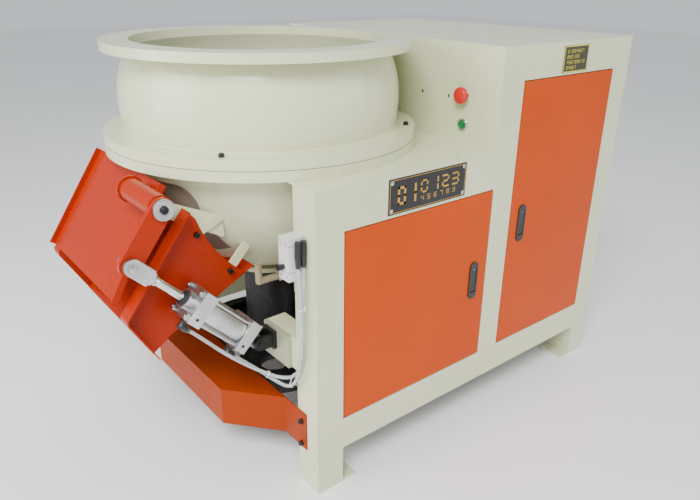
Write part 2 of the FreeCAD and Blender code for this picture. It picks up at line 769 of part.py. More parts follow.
def make_buttons():
    """Emergency stop and start buttons on the step's face, each sliding in its switch body."""
    y = FRONT + button_setback
    holders = []
    for name, height, diameter, thickness, travel in (
        ("stop", stop_height, stop_diameter, stop_thickness, stop_travel),
        ("start", start_height, start_diameter, start_thickness, start_travel),
    ):
        stem = button_stem / 2
        bezel = rod(name + "_bezel_ring", bezel_diameter / 2, "X", (y, height), (STEP - bezel_thickness, STEP))
        switch = rod(name + "_barrel", button_stem - running_gap * 4, "X", (y, height), (STEP, STEP + switch_depth))
        seat = STEP - bezel_thickness
        bore_span = (seat - 1, STEP + switch_depth - sheet_thickness)
        bore = rod(name + "_bore", stem + running_gap, "X", (y, height), bore_span)
        tools = [bore]
        if name == "start":
            recess = diameter / 2 + handle_gap
            tools.append(rod(name + "_recess", recess, "X", (y, height), (seat - 1, STEP + travel)))
        body = fuse(name + "_holder_solid", [bezel, switch])
        holders.append(cut(name + "_holder", body, group(name + "_bores", tools)))
        inner = seat - travel - handle_gap if name == "stop" else STEP - handle_gap
        cap = rod(name + "_cap", diameter / 2, "X", (y, height), (inner - thickness, inner))
        shaft = rod(name + "_stem", stem, "X", (y, height), (inner, STEP + switch_depth / 2))
        node(name + "_button", fuse(name + "_button", [cap, shaft]))
    node("button_holders", group("button_holders", holders))


def make_plates():
    """Two plain plates on the front, the large one held by four dome screws."""
    x = (LEFT + nameplate_start, LEFT + nameplate_start + nameplate_width)
    z = (nameplate_bottom, nameplate_bottom + nameplate_height)
    y = (FRONT - plate_thickness, FRONT)
    node("front_plate", box("front_plate", x, y, z))
    screws = []
    head_y = (FRONT - plate_thickness - 2, FRONT - plate_thickness)
    for i, screw_x in enumerate((x[0] + nameplate_margin, x[1] - nameplate_margin)):
        for k, screw_z in enumerate((z[0] + nameplate_margin, z[1] - nameplate_margin)):
            screws.append(rod("plate_screw_%d%d" % (i, k), nameplate_screw / 2, "Y", (screw_x, screw_z), head_y))
    node("front_plate_screws", group("front_plate_screws", screws))
    small_x = (LEFT + rating_start, LEFT + rating_start + rating_width)
    node("side_plate", box("side_plate", small_x, y, (rating_bottom, rating_bottom + rating_height)))


# Drum

def rounded_block(name, half, z, radius):
    """A block through the bowl's side with rounded corners, as wide as twice the half width."""
    corners = rectangle((-half, half), z)
    return plate(name, "YZ_Plane", [corners], AXIS - bowl_radius - drum_wall, AXIS - disc_radius / 2, corners, radius)


def bowl_tabs():
    """Four tabs on the bowl that the chute's sides are screwed to."""
    tabs = []
    reach = ARC_RADIUS + tab_bolt_inset * 2
    inner = chute_half - sheet_thickness / 2 - tab_thickness
    for side in (-1, 1):
        for i, slope in enumerate((tab_upper_slope, tab_lower_slope)):
            name = "bowl_tab_%s_%d" % ("near" if side < 0 else "far", i)
            y = (inner, inner + tab_thickness) if side > 0 else (-inner - tab_thickness, -inner)
            blank = box(name + "_blank", (tab_inner, reach), y, (-tab_width / 2, tab_width / 2))
            tab = aligned(group(name + "_turned", [blank]), (AXIS, BOWL_CENTRE), -slope, as_size(-1), ZERO)
            tabs.append(cut(name, tab, ball(name + "_seat", bowl_radius - drum_wall / 2)))
    return tabs


def plug_sweep(name, gap):
    """Cylinder about the gate's shaft that bounds the window and its plug below, so that the plug swings out."""
    foot = root(bowl_radius * bowl_radius - window_bottom_drop * window_bottom_drop)
    across = hinge_reach - foot
    down = hinge_height - window_bottom
    radius = root(across * across + down * down) - plug_gap * 6 + gap
    return rod(name, radius, "Y", (HINGE_X, hinge_height), (-window_half - 1, window_half + 1))


def make_bowl():
    """Hemispherical bowl with its flange on the deck, a spindle hole and the discharge window."""
    outer = ball("bowl_outer", bowl_radius)
    inner = ball("bowl_inner", bowl_radius - drum_wall)
    keep = rod("bowl_keep", bowl_radius + drum_wall, "Z", (AXIS, ZERO),
               (BOWL_CENTRE - bowl_radius - 1, deck_height))
    shell = common("bowl_shell", cut("bowl_hollow", outer, inner), keep)
    ring = rod("bowl_flange_disc", flange_radius, "Z", (AXIS, ZERO), (deck_height, SEAM))
    hole = rod("bowl_flange_hole", bowl_radius - drum_wall, "Z", (AXIS, ZERO), (deck_height - 1, SEAM + 1))
    flange = cut("bowl_flange", ring, hole)
    solid = fuse("bowl_solid", [shell, flange])
    spindle_hole = rod("bowl_hole", collar_neck, "Z", (AXIS, ZERO),
                       (BOWL_CENTRE - bowl_radius - 1, BOWL_CENTRE - bowl_radius / 2))
    window = rounded_block("window_block", window_half, (window_bottom, window_top), plug_corner + plug_gap)
    window = common("bowl_window", window, plug_sweep("window_sweep", plug_gap))
    solid = fuse("bowl_whole", [solid] + bowl_tabs())
    node("bowl", cut("bowl", solid, group("bowl_cuts", [spindle_hole, window])))


def make_upper_drum():
    """Barrel-shaped upper drum with a bolted flange below and a wide rim on top."""
    flange_top = SEAM + flange_thickness
    rim_bottom = drum_top - rim_thickness
    peak = flange_top + barrel_peak
    shoulder = (rim_bottom + peak) / 2
    bulge = neck_radius + (barrel_radius - neck_radius) * 0.86
    wall = drum_wall
    profile = [
        (barrel_foot - wall, SEAM),
        (flange_radius, SEAM),
        (flange_radius, flange_top),
        (barrel_foot, flange_top),
        ((barrel_radius - 2, (flange_top + peak) / 2), (barrel_radius, peak)),
        ((bulge, shoulder), (neck_radius, rim_bottom)),
        (rim_radius, rim_bottom),
        (rim_radius, drum_top),
        (drum_mouth, drum_top),
        (neck_radius - wall, rim_bottom),
        ((bulge - wall, shoulder), (barrel_radius - wall, peak)),
    ]
    node("upper_drum", turned("upper_drum", profile))


def flange_bolts():
    """Four screw heads that hold the two flanges together."""
    radius = flange_radius - flange_bolt_inset
    top = SEAM + flange_thickness
    heads = []
    for i in range(4):
        angle = math.radians(45 + 90 * i)
        x = AXIS + radius * math.cos(angle)
        y = radius * math.sin(angle)
        heads.append(rod("flange_bolt_%d" % i, bolt_head / 2, "Z", (x, y), (top, top + bolt_height)))
    return heads


# Spindle and drive

def make_collar():
    """Collar under the bowl that the spindle housing is bolted to, with the drain boss."""
    neck_top = BOWL_CENTRE - root(bowl_radius * bowl_radius - collar_neck * collar_neck) + drum_wall
    flange = rod("collar_flange", collar_radius, "Z", (AXIS, ZERO), (collar_bottom, collar_bottom + collar_thickness))
    neck = rod("collar_neck_bar", collar_neck, "Z", (AXIS, ZERO), (collar_bottom, neck_top))
    hole = rod("collar_bore", housing_radius, "Z", (AXIS, ZERO), (collar_bottom - 1, neck_top + 1))
    node("bowl_collar", cut("bowl_collar", fuse("collar_solid", [flange, neck]), hole))


def make_spindle():
    """Bearing housing, shaft, dished disc and the large belt pulley, all on the drum's axis."""
    flange = rod("housing_flange_disc", housing_flange, "Z", (AXIS, ZERO),
                 (collar_bottom - housing_flange_thickness, collar_bottom))
    barrel = rod("housing_barrel", housing_radius, "Z", (AXIS, ZERO), (housing_bottom, collar_bottom))
    hole = rod("housing_bore", shaft_radius + running_gap, "Z", (AXIS, ZERO), (housing_bottom - 1, collar_bottom + 1))
    node("spindle_housing", cut("spindle_housing", fuse("housing_solid", [flange, barrel]), hole))
    node("spindle_shaft", rod("spindle_shaft", shaft_radius, "Z", (AXIS, ZERO), (pulley_bottom, disc_bottom)))
    dish = ball("disc_dish", bowl_radius - drum_wall - disc_gap)
    blank = rod("disc_blank", disc_radius, "Z", (AXIS, ZERO), (disc_bottom, disc_top))
    node("bowl_disc", common("bowl_disc", dish, blank))
    make_pulley("spindle_pulley", AXIS, pulley_radius, shaft_radius)


def make_pulley(name, x, radius, bore):
    """A belt pulley with one groove for each belt; the large one has a thin web with holes."""
    top = pulley_bottom + pulley_width
    middle = pulley_bottom + pulley_width / 2
    blank = rod(name + "_blank", radius, "Z", (x, ZERO), (pulley_bottom, top))
    tools = [rod(name + "_bore", bore, "Z", (x, ZERO), (pulley_bottom - 1, top + 1))]
    for i in (-1, 0, 1):
        half = belt_width / 2 + belt_gap
        z = (middle + belt_pitch * i - half, middle + belt_pitch * i + half)
        ring = rod("%s_ring_%d" % (name, i + 1), radius + 1, "Z", (x, ZERO), z)
        floor = rod("%s_floor_%d" % (name, i + 1), radius - belt_height - belt_gap * 2, "Z", (x, ZERO), z)
        tools.append(cut("%s_groove_%d" % (name, i + 1), ring, floor))
    if name == "spindle_pulley":
        for side, z in (
            ("lower", (pulley_bottom - 1, middle - pulley_web / 2)),
            ("upper", (middle + pulley_web / 2, top + 1)),
        ):
            well = rod(name + "_well_" + side, radius - pulley_rim, "Z", (x, ZERO), z)
            hub = rod(name + "_hub_" + side, pulley_hub, "Z", (x, ZERO), z)
            tools.append(cut(name + "_recess_" + side, well, hub))
        for i in range(6):
            angle = math.radians(60 * i)
            hole_x = x + web_hole_circle / 2 * math.cos(angle)
            hole_y = web_hole_circle / 2 * math.sin(angle)
            tools.append(rod("%s_web_hole_%d" % (name, i), web_hole / 2, "Z", (hole_x, hole_y), (pulley_bottom, top)))
        node(name, cut(name, blank, group(name + "_tools", tools)))
    else:
        grooved = cut(name + "_grooved", blank, group(name + "_tools", tools))
        shaft_top = motor_rail_bottom + motor_rail_height + motor_plate_thickness * 2
        shaft = rod(name + "_shaft", bore, "Z", (x, ZERO), (pulley_bottom, shaft_top))
        node(name, fuse(name, [grooved, shaft]))


def make_drive():
    """Motor on its plate and rails, with its pulley and the three belts."""
    x = LEFT + motor_inset
    rails = []
    for side, sign in (("left", -1), ("right", 1)):
        centre = x + motor_rail_spacing / 2 * sign
        span_x = (centre - motor_rail_width / 2, centre + motor_rail_width / 2)
        span_y = (FRONT + sheet_thickness, BACK - sheet_thickness)
        rails.append(box("rail_" + side, span_x, span_y, (motor_rail_bottom, motor_rail_bottom + motor_rail_height)))
    node("motor_rails", group("motor_rails", rails))
    rail_top = motor_rail_bottom + motor_rail_height
    plate_top = rail_top + motor_plate_thickness
    half = motor_plate_size / 2
    slab = box("motor_slab", (x - half, x + half), (-half, half), (rail_top, plate_top))
    clear = rod("motor_plate_hole", motor_shaft + belt_gap * 4, "Z", (x, ZERO), (rail_top - 1, plate_top + 1))
    node("motor_plate", cut("motor_plate", slab, clear))
    flange = rod("motor_flange", motor_flange_radius, "Z", (x, ZERO), (plate_top, plate_top + flange_thickness / 2))
    barrel = rod("motor_barrel", motor_radius, "Z", (x, ZERO), (plate_top, plate_top + motor_length))
    bore_top = plate_top + motor_plate_thickness + belt_gap
    bore = rod("motor_bore", motor_shaft + running_gap, "Z", (x, ZERO), (plate_top - 1, bore_top))
    node("motor", cut("motor", fuse("motor_solid", [flange, barrel]), bore))
    make_pulley("motor_pulley", x, motor_pulley_radius, motor_shaft)
    node("drive_belts", group("drive_belts", [make_belt(i, x) for i in (-1, 0, 1)]))


def make_belt(i, x):
    """One belt round both pulleys, just clear of the groove walls."""
    middle = pulley_bottom + pulley_width / 2 + belt_pitch * i
    z = (middle - belt_width / 2, middle + belt_width / 2)
    outer = belt_loop("belt_outer_%d" % (i + 1), x, z, belt_gap)
    inner = belt_loop("belt_inner_%d" % (i + 1), x, z, belt_gap + belt_height)
    return cut("belt_%d" % (i + 1), outer, inner)


def belt_loop(name, x, z, inset):
    """The slab inside a belt line that lies inset from both pulley rims."""
    large = pulley_radius - inset
    small = motor_pulley_radius - inset
    distance = x - AXIS
    lean = (large - small) / distance
    spread = root(as_size(1) - lean * lean)
    corners = [
        (AXIS + large * lean, large * spread),
        (AXIS + large * lean, -(large * spread)),
        (x + small * lean, -(small * spread)),
        (x + small * lean, small * spread),
    ]
    web = plate(name + "_web", "XY_Plane", [corners], z[0], z[1])
    ends = [
        rod(name + "_large", large, "Z", (AXIS, ZERO), z),
        rod(name + "_small", small, "Z", (x, ZERO), z),
    ]
    return fuse(name, [web] + ends)


# Discharge gate, placed from the drum's axis

HINGE_X = AXIS - hinge_reach
FLAP_RUN = flap_bottom_reach - flap_top_reach
FLAP_DROP = flap_top_height - flap_bottom_height
FLAP_LENGTH = root(FLAP_RUN * FLAP_RUN + FLAP_DROP * FLAP_DROP)
LUG_NEAR = -(chute_half - sheet_thickness / 2 - tab_thickness - 1)
TUBE_NEAR = -lever_offset + lever_thickness / 2 + 1
TUBE_FAR = TUBE_NEAR + hinge_span
EYE_FAR = TUBE_FAR + lug_thickness


def beside_flap(along, out):
    """A point beside the flap: along from its top edge, and out from its inner face."""
    x = AXIS - flap_top_reach - (FLAP_RUN / FLAP_LENGTH) * along - (FLAP_DROP / FLAP_LENGTH) * out
    z = flap_top_height - (FLAP_DROP / FLAP_LENGTH) * along + (FLAP_RUN / FLAP_LENGTH) * out
    return (x, z)


def strip(name, along, out, y):
    """A flat strip along the flap, between two distances from its face."""
    corners = [
        beside_flap(along[0], out[0]), beside_flap(along[1], out[0]),
        beside_flap(along[1], out[1]), beside_flap(along[0], out[1]),
    ]
    return plate(name, "XZ_Plane", [corners], y[0], y[1])


def flap_width(name, inset):
    """A block through the flap whose sides spread towards the bottom, a little inside its edges."""
    top = flap_top_half - inset
    bottom = top + flap_spread
    corners = [(-top, flap_top_height + flap_lip * 2), (-bottom, flap_bottom_height - flap_lip),
               (bottom, flap_bottom_height - flap_lip), (top, flap_top_height + flap_lip * 2)]
    return plate(name, "YZ_Plane", [corners], AXIS - flap_bottom_reach * 1.2, AXIS - flap_top_reach * 0.8)


def make_gate():
    """Flap with folded edges, the eye that fixes it to its shaft, and two arms that carry the window plug."""
    whole = as_size(flap_bottom_reach * 2)
    span = (-whole, whole)
    fold = sheet_thickness + flap_lip
    outer = common("flap_outer", strip("flap_block", (ZERO, FLAP_LENGTH), (ZERO, fold), span), flap_width("flap_edge", 0))
    tray = strip("flap_tray_block", (-fold, FLAP_LENGTH + fold), (sheet_thickness, fold * 2), span)
    tray = common("flap_tray", tray, flap_width("flap_tray_edge", sheet_thickness))
    pan = cut("flap_pan", outer, tray)
    clear = rod("flap_tube_clear", hinge_tube_radius + running_gap * 30, "Y", (HINGE_X, hinge_height),
                (TUBE_NEAR - 1, TUBE_FAR + 0.5))
    eye = rod("flap_eye", hinge_tube_radius + sheet_thickness * 1.3, "Y", (HINGE_X, hinge_height), (TUBE_FAR + 1, EYE_FAR))
    pieces = [cut("flap_cleared", pan, clear), eye]
    for name, side in (("near", -1), ("far", 1)):
        middle = arm_offset * side
        y = (middle - arm_thickness / 2, middle + arm_thickness / 2)
        reach = bowl_radius - plug_thickness
        corners = [
            beside_flap(flap_lip * 2, ZERO), beside_flap(FLAP_LENGTH * 0.55, ZERO),
            (AXIS - reach * 0.75, window_bottom + flap_lip * 4),
            (AXIS - reach * 0.75, window_top - flap_lip),
        ]
        pieces.append(plate("plug_arm_" + name, "XZ_Plane", [corners], y[0], y[1]))
    solid = fuse("flap_solid", pieces)
    bore = rod("flap_bore", gate_shaft_radius, "Y", (HINGE_X, hinge_height), (TUBE_FAR, EYE_FAR + 1))
    relief = ball("arm_relief", bowl_radius - plug_recess)
    node("gate_flap", cut("gate_flap", solid, group("flap_cuts", [bore, relief])))
    skin = cut("plug_skin", ball("plug_outer", bowl_radius - plug_recess),
               ball("plug_inner", bowl_radius - plug_recess - plug_thickness))
    gap = plug_gap
    block = rounded_block("plug_block", window_half - gap, (window_bottom + gap, window_top - gap), plug_corner)
    bounds = common("plug_bounds", block, plug_sweep("plug_edge", ZERO))
    node("gate_plug", common("gate_plug", skin, bounds))


def make_gate_hinge():
    """Fixed tube on a lug of the bowl, the shaft that turns in it, its end washer, and the lever."""
    centre = (HINGE_X, hinge_height)
    tube = rod("hinge_tube_bar", hinge_tube_radius, "Y", centre, (TUBE_NEAR, TUBE_FAR))
    bore = rod("hinge_tube_bore", gate_shaft_radius + running_gap, "Y", centre, (TUBE_NEAR - 1, TUBE_FAR + 1))
    node("hinge_tube", cut("hinge_tube", tube, bore))
    inner = AXIS - bowl_radius * 0.7
    corners = [
        centre, (HINGE_X + lug_drop * 1.3, hinge_height - lug_drop * 0.4), (inner, hinge_height - lug_drop * 2.8),
        (inner, hinge_height - lug_drop * 4.8), (HINGE_X + lug_drop / 2, hinge_height - lug_drop * 1.4),
    ]
    web = plate("lug_web", "XZ_Plane", [corners], LUG_NEAR, LUG_NEAR + lug_thickness)
    seat = rod("lug_seat", hinge_tube_radius, "Y", centre, (LUG_NEAR - 1, LUG_NEAR + lug_thickness + 1))
    node("hinge_lug", cut("hinge_lug", web, group("lug_cuts", [seat, ball("lug_bowl_seat", bowl_radius)])))
    near_end = -lever_offset - lever_thickness / 2
    shaft = rod("gate_shaft_bar", gate_shaft_radius, "Y", centre, (near_end, EYE_FAR + 2))
    washer = rod("lever_washer", washer_radius, "Y", centre, (near_end - washer_thickness, near_end))
    node("gate_shaft", fuse("gate_shaft", [shaft, washer]))
    node("gate_lever", make_lever())


def aligned(item, base, rise, run, offset):
    """Turn a piece drawn along +X so that it points up a slope, then place it."""
    angle = turn(rise, run)
    item.Placement.Rotation = FreeCAD.Rotation(FreeCAD.Vector(0, -1, 0), angle.value)
    item.setExpression("Placement.Rotation.Angle", angle.text)
    place(item, base[0], offset, base[1])
    return item


LEVER_RUN = -(lever_reach - hinge_reach)
LEVER_RISE = lever_height - hinge_height
LEVER_LENGTH = root(LEVER_RUN * LEVER_RUN + LEVER_RISE * LEVER_RISE)


def make_lever():
    """Flat lever from the gate's shaft to the fork's pin, whose hole has play."""
    half = lever_thickness / 2
    y = (-half, half)
    radius = lever_width / 2
    middle = box("lever_bar", (ZERO, LEVER_LENGTH), y, (-radius, radius))
    near = rod("lever_end", radius, "Y", (ZERO, ZERO), y)
    tip = rod("lever_tip", radius, "Y", (LEVER_LENGTH, ZERO), y)
    hole = rod("lever_hole", pin_radius + pin_play, "Y", (LEVER_LENGTH, ZERO), (-half - 1, half + 1))
    seat = rod("lever_seat", gate_shaft_radius, "Y", (ZERO, ZERO), (-half - 1, half + 1))
    lever = cut("gate_lever", fuse("lever_solid", [middle, near, tip]), group("lever_holes", [hole, seat]))
    return aligned(lever, (HINGE_X, hinge_height), LEVER_RISE, LEVER_RUN, -lever_offset)


# Chute

CHUTE_TOP = (AXIS - chute_top_reach, chute_top_height)
CHUTE_TIP = (AXIS - chute_tip_reach, chute_tip_height)
CHUTE_OUTLET = (AXIS - chute_outlet_reach, chute_outlet_height)
CHUTE_BEND = (AXIS - chute_bend_reach, chute_bend_height)
CHUTE_INNER = (AXIS - chute_inner_reach, chute_inner_height)
FLOOR_RUN = CHUTE_INNER[0] - CHUTE_BEND[0]
FLOOR_RISE = CHUTE_INNER[1] - CHUTE_BEND[1]
CHUTE_FAR = (CHUTE_INNER[0] + FLOOR_RUN / 3, CHUTE_INNER[1] + FLOOR_RISE / 3)


def make_chute_side(name, side):
    """One side of the chute: a flat sheet with a hollow round the bowl, and its folded lip."""
    half = sheet_thickness / 2
    y = (chute_half * side - half, chute_half * side + half)
    corners = [CHUTE_TOP, CHUTE_TIP, CHUTE_OUTLET, CHUTE_BEND, CHUTE_FAR]
    sheet = plate(name + "_sheet", "XZ_Plane", [corners], y[0], y[1], [CHUTE_TIP], lip_corner)
    hollow = rod(name + "_hollow", ARC_RADIUS, "Y", (AXIS, BOWL_CENTRE), y)
    lip = make_lip(name + "_lip", side, y)
    node(name, fuse(name, [cut(name + "_flat", sheet, hollow), lip]))


def make_lip(name, side, y):
    """The lip folded outwards along the chute side's outer and lower edges."""
    up = (CHUTE_TOP[0] - CHUTE_TIP[0], CHUTE_TOP[1] - CHUTE_TIP[1])
    down = (CHUTE_OUTLET[0] - CHUTE_TIP[0], CHUTE_OUTLET[1] - CHUTE_TIP[1])
    up_length = root(up[0] * up[0] + up[1] * up[1])
    down_length = root(down[0] * down[0] + down[1] * down[1])
    up = (up[0] / up_length, up[1] / up_length)
    down = (down[0] / down_length, down[1] / down_length)
    thick = sheet_thickness
    top_inner = (CHUTE_TOP[0] + up[1] * thick, CHUTE_TOP[1] - up[0] * thick)
    outlet_inner = (CHUTE_OUTLET[0] - down[1] * thick, CHUTE_OUTLET[1] + down[0] * thick)
    sine = up[0] * down[1] - up[1] * down[0]
    tip_inner = (CHUTE_TIP[0] - (up[0] + down[0]) * thick / sine, CHUTE_TIP[1] - (up[1] + down[1]) * thick / sine)
    corners = [CHUTE_TOP, CHUTE_TIP, CHUTE_OUTLET, outlet_inner, tip_inner, top_inner]
    span = (y[0] - lip_width, y[0]) if side < 0 else (y[1], y[1] + lip_width)
    return plate(name, "XZ_Plane", [corners], span[0], span[1], [CHUTE_TIP, tip_inner], lip_corner)


def make_chute():
    """Both sides of the chute and the floor that joins them."""
    make_chute_side("chute_near_side", -1)
    make_chute_side("chute_far_side", 1)
    drop = sheet_thickness
    corners = [CHUTE_OUTLET, CHUTE_BEND, CHUTE_FAR, (CHUTE_FAR[0], CHUTE_FAR[1] - drop),
               (CHUTE_BEND[0], CHUTE_BEND[1] - drop), (CHUTE_OUTLET[0], CHUTE_OUTLET[1] - drop)]
    half = chute_half - sheet_thickness / 2
    slab = plate("chute_floor_slab", "XZ_Plane", [corners], -half, half)
    node("chute_floor", cut("chute_floor", slab, ball("floor_relief", bowl_radius)))


# Air cylinder, drawn along +X from its rear pivot

PIVOT_X = AXIS - rear_pivot_reach
ROD_RUN = -(lever_reach - rear_pivot_reach)
ROD_RISE = lever_height - rear_pivot_height
PIN_DISTANCE = root(ROD_RUN * ROD_RUN + ROD_RISE * ROD_RISE)
BARREL_START = rear_cap_start + rear_cap_length
FRONT_CAP = BARREL_START + barrel_length
NOSE_START = FRONT_CAP + front_cap_length


def along_rod(item):
    """Place a piece drawn along +X on the line from the rear pivot to the fork's pin."""
    return aligned(item, (PIVOT_X, rear_pivot_height), ROD_RISE, ROD_RUN, -lever_offset)


def make_cylinder():
    """Barrel between two square caps, tie rods with their nuts, and the rear tongue."""
    half = cap_size / 2
    square = ((-half, half), (-half, half))
    rear = box("rear_cap", (rear_cap_start, BARREL_START), *square)
    front = box("front_cap", (FRONT_CAP, NOSE_START), *square)
    barrel = rod("cylinder_tube", cylinder_barrel, "X", (ZERO, ZERO), (BARREL_START, FRONT_CAP))
    nose = rod("cylinder_nose", nose_radius, "X", (ZERO, ZERO), (NOSE_START, NOSE_START + nose_length))
    width = tongue_thickness / 2
    tongue = box("tongue_bar", (ZERO, rear_cap_start), (-width, width), (-ear_radius, ear_radius))
    eye = rod("tongue_eye", ear_radius, "Y", (ZERO, ZERO), (-width, width))
    solid = fuse("cylinder_solid", [rear, front, barrel, nose, tongue, eye])
    bore = rod("rod_bore", rod_radius + running_gap, "X", (ZERO, ZERO), (BARREL_START, NOSE_START + nose_length + 1))
    pin_bore = rod("tongue_bore", pin_radius + running_gap, "Y", (ZERO, ZERO), (-width - 1, width + 1))
    node("cylinder_body", along_rod(cut("cylinder_body", solid, group("cylinder_bores", [bore, pin_bore]))))
    rods = []
    spread = tie_rod_spread / 2
    for i, (y, z) in enumerate(((-1, -1), (1, -1), (1, 1), (-1, 1))):
        centre = (spread * y, spread * z)
        bar = rod("tie_rod_%d" % i, tie_rod, "X", centre, (BARREL_START, FRONT_CAP))
        nut = rod("tie_nut_%d" % i, tie_nut, "X", centre, (NOSE_START, NOSE_START + nut_length))
        rods += [bar, nut]
    node("tie_rods", along_rod(group("tie_rods", rods)))
    elbows = []
    for name, x in (("rear", rear_cap_start + rear_cap_length / 2), ("front", FRONT_CAP + front_cap_length / 2)):
        stem = rod("elbow_stem_" + name, elbow_radius, "Z", (x, ZERO), (half, half + elbow_radius * 2))
        turn_ball = rod("elbow_arm_" + name, elbow_radius, "X", (ZERO, half + elbow_radius * 2),
                        (x - elbow_radius * 3, x + elbow_radius / 2))
        elbows.append(fuse("elbow_" + name, [stem, turn_ball]))
    node("cylinder_elbows", along_rod(group("cylinder_elbows", elbows)))


def make_piston():
    """Piston rod with its lock nut, and the fork with the pin through the lever."""
    fork_start = PIN_DISTANCE - fork_length + fork_width / 2
    bar = rod("piston_bar", rod_radius, "X", (ZERO, ZERO), (BARREL_START + nut_length, fork_start))
    nut = rod("fork_nut", nut_radius, "X", (ZERO, ZERO), (fork_start - nut_length, fork_start))
    node("piston_rod", along_rod(fuse("piston_rod", [bar, nut])))
    half = fork_width / 2
    slot = lever_thickness / 2 + fork_gap
    block = box("fork_block", (fork_start, PIN_DISTANCE), (-half, half), (-half, half))
    end = rod("fork_end", half, "Y", (PIN_DISTANCE, ZERO), (-half, half))
    opening = box("fork_slot", (PIN_DISTANCE - lever_width / 2 - fork_gap * 6, PIN_DISTANCE + fork_width),
                  (-slot, slot), (-half - 1, half + 1))
    bore = rod("fork_bore", pin_radius, "Y", (PIN_DISTANCE, ZERO), (-half - 1, half + 1))
    fork = cut("rod_fork", fuse("fork_solid", [block, end]), group("fork_cuts", [opening, bore]))
    node("rod_fork", along_rod(fork))
    pin = rod("fork_pin_bar", pin_radius, "Y", (PIN_DISTANCE, ZERO), (-half - 3, half + 3))
    node("fork_pin", along_rod(group("fork_pin", [pin])))


def make_cylinder_bracket():
    """Beam from the front left leg, its end plate, and the two ears that hold the rear pivot."""
    x = LEFT + bracket_inset
    z = (bracket_bottom, bracket_bottom + bracket_height)
    start = FRONT + leg_depth
    end = start + bracket_length
    node("cylinder_bracket", box("cylinder_bracket", (x, x + bracket_width), (start, end), z))
    plate_x = (x - bracket_plate_thickness, x)
    node("bracket_plate", box("bracket_plate", plate_x, (start + bracket_length / 5, end), z))
    ears = []
    width = tongue_thickness / 2 + fork_gap
    for name, side in (("near", -1), ("far", 1)):
        inner = -lever_offset + width * side
        outer = -lever_offset + (width + ear_thickness) * side
        y = (inner, outer) if side > 0 else (outer, inner)
        web = box("ear_web_" + name, (PIVOT_X, plate_x[0]), y,
                  (rear_pivot_height - ear_radius, rear_pivot_height + ear_radius))
        boss = rod("ear_boss_" + name, ear_radius, "Y", (PIVOT_X, rear_pivot_height), y)
        ears += [web, boss]
    reach = width + ear_thickness + 3
    pin = rod("rear_pin", pin_radius, "Y", (PIVOT_X, rear_pivot_height), (-lever_offset - reach, -lever_offset + reach))
    base = box("ear_base", (plate_x[0] - ear_thickness, plate_x[0]), (-lever_offset - reach, -lever_offset + reach),
               (rear_pivot_height - ear_radius * 1.4, rear_pivot_height + ear_radius * 1.4))
    node("rear_clevis", fuse("rear_clevis", ears + [pin, base]))


# Pulley guard, fasteners, air supply and drain

def make_guard():
    """Bent guard round the overhanging pulley: five wall panels and a flat top."""
    thick = sheet_thickness
    outer = [
        (LEFT, -guard_end_half), (LEFT, -guard_ear_half), (LEFT - guard_reach, -guard_outer_half),
        (LEFT - guard_reach, guard_outer_half), (LEFT, guard_ear_half), (LEFT, guard_end_half),
    ]
    inner = [(LEFT - thick, guard_end_half), (LEFT - thick, guard_ear_half + thick),
             (LEFT - guard_reach - thick, guard_outer_half + thick / 2),
             (LEFT - guard_reach - thick, -guard_outer_half - thick / 2),
             (LEFT - thick, -guard_ear_half - thick), (LEFT - thick, -guard_end_half)]
    walls = plate("guard_walls", "XY_Plane", [outer + inner], guard_bottom, guard_top)
    lid = plate("guard_lid", "XY_Plane", [outer[1:5]], guard_top - thick, guard_top)
    node("pulley_guard", fuse("pulley_guard", [walls, lid]))


def frame_bolts():
    """Bolt heads on the guard's ears and round the collar that carries the spindle housing."""
    heads = []
    radius = bolt_head / 2
    guard_y = guard_end_half - guard_bolt_inset
    face = LEFT - sheet_thickness
    for name, y in (("near", -guard_y), ("far", guard_y)):
        for level, rise in (("low", guard_bolt_low), ("high", guard_bolt_high)):
            span = (face - bolt_height, face)
            heads.append(rod("guard_bolt_%s_%s" % (name, level), radius, "X", (y, guard_bottom + rise), span))
    circle = (collar_neck + collar_radius) / 2
    top = collar_bottom + collar_thickness
    for i in range(6):
        angle = math.radians(60 * i + 30)
        x = AXIS + circle * math.cos(angle)
        y = circle * math.sin(angle)
        heads.append(rod("housing_bolt_%d" % i, radius, "Z", (x, y), (top, top + bolt_height * 0.7)))
    return heads


def chute_bolts():
    """Bolt heads that hold the chute's sides to the bowl's tabs."""
    heads = []
    face = chute_half + sheet_thickness / 2
    radius = ARC_RADIUS + tab_bolt_inset
    for side in (-1, 1):
        y = (face, face + bolt_height) if side > 0 else (-face - bolt_height, -face)
        for i, slope in enumerate((tab_upper_slope, tab_lower_slope)):
            run = radius / root(slope * slope + 1)
            name = "chute_bolt_%s_%d" % ("near" if side < 0 else "far", i)
            heads.append(rod(name, bolt_head / 2, "Y", (AXIS - run, BOWL_CENTRE - run * slope), y))
    return heads


def make_bolt_heads():
    """All the black M8 bolt heads, which share one node."""
    node("bolt_heads", group("bolt_heads", flange_bolts() + frame_bolts() + chute_bolts()))


def make_valve():
    """Valve box on the front left leg with its fittings."""
    y = (FRONT + valve_setback, FRONT + valve_setback + valve_width)
    node("valve_box", box("valve_box", (LEFT - valve_reach, LEFT), y, (valve_bottom, valve_bottom + valve_height)))
    fittings = []
    for i in (0, 1):
        centre = (LEFT - fitting_radius * (1 + 2 * i), y[0] - fitting_radius)
        fittings.append(rod("fitting_%d" % i, fitting_radius, "Z", centre,
                            (valve_bottom + fitting_length, valve_bottom + fitting_length * 3)))
    side = rod("side_fitting", fitting_radius, "X", (y[0] + valve_width / 2, valve_bottom + valve_height / 3),
               (LEFT - valve_reach - fitting_length / 2, LEFT - valve_reach))
    fittings.append(side)
    node("air_fittings", group("air_fittings", fittings))


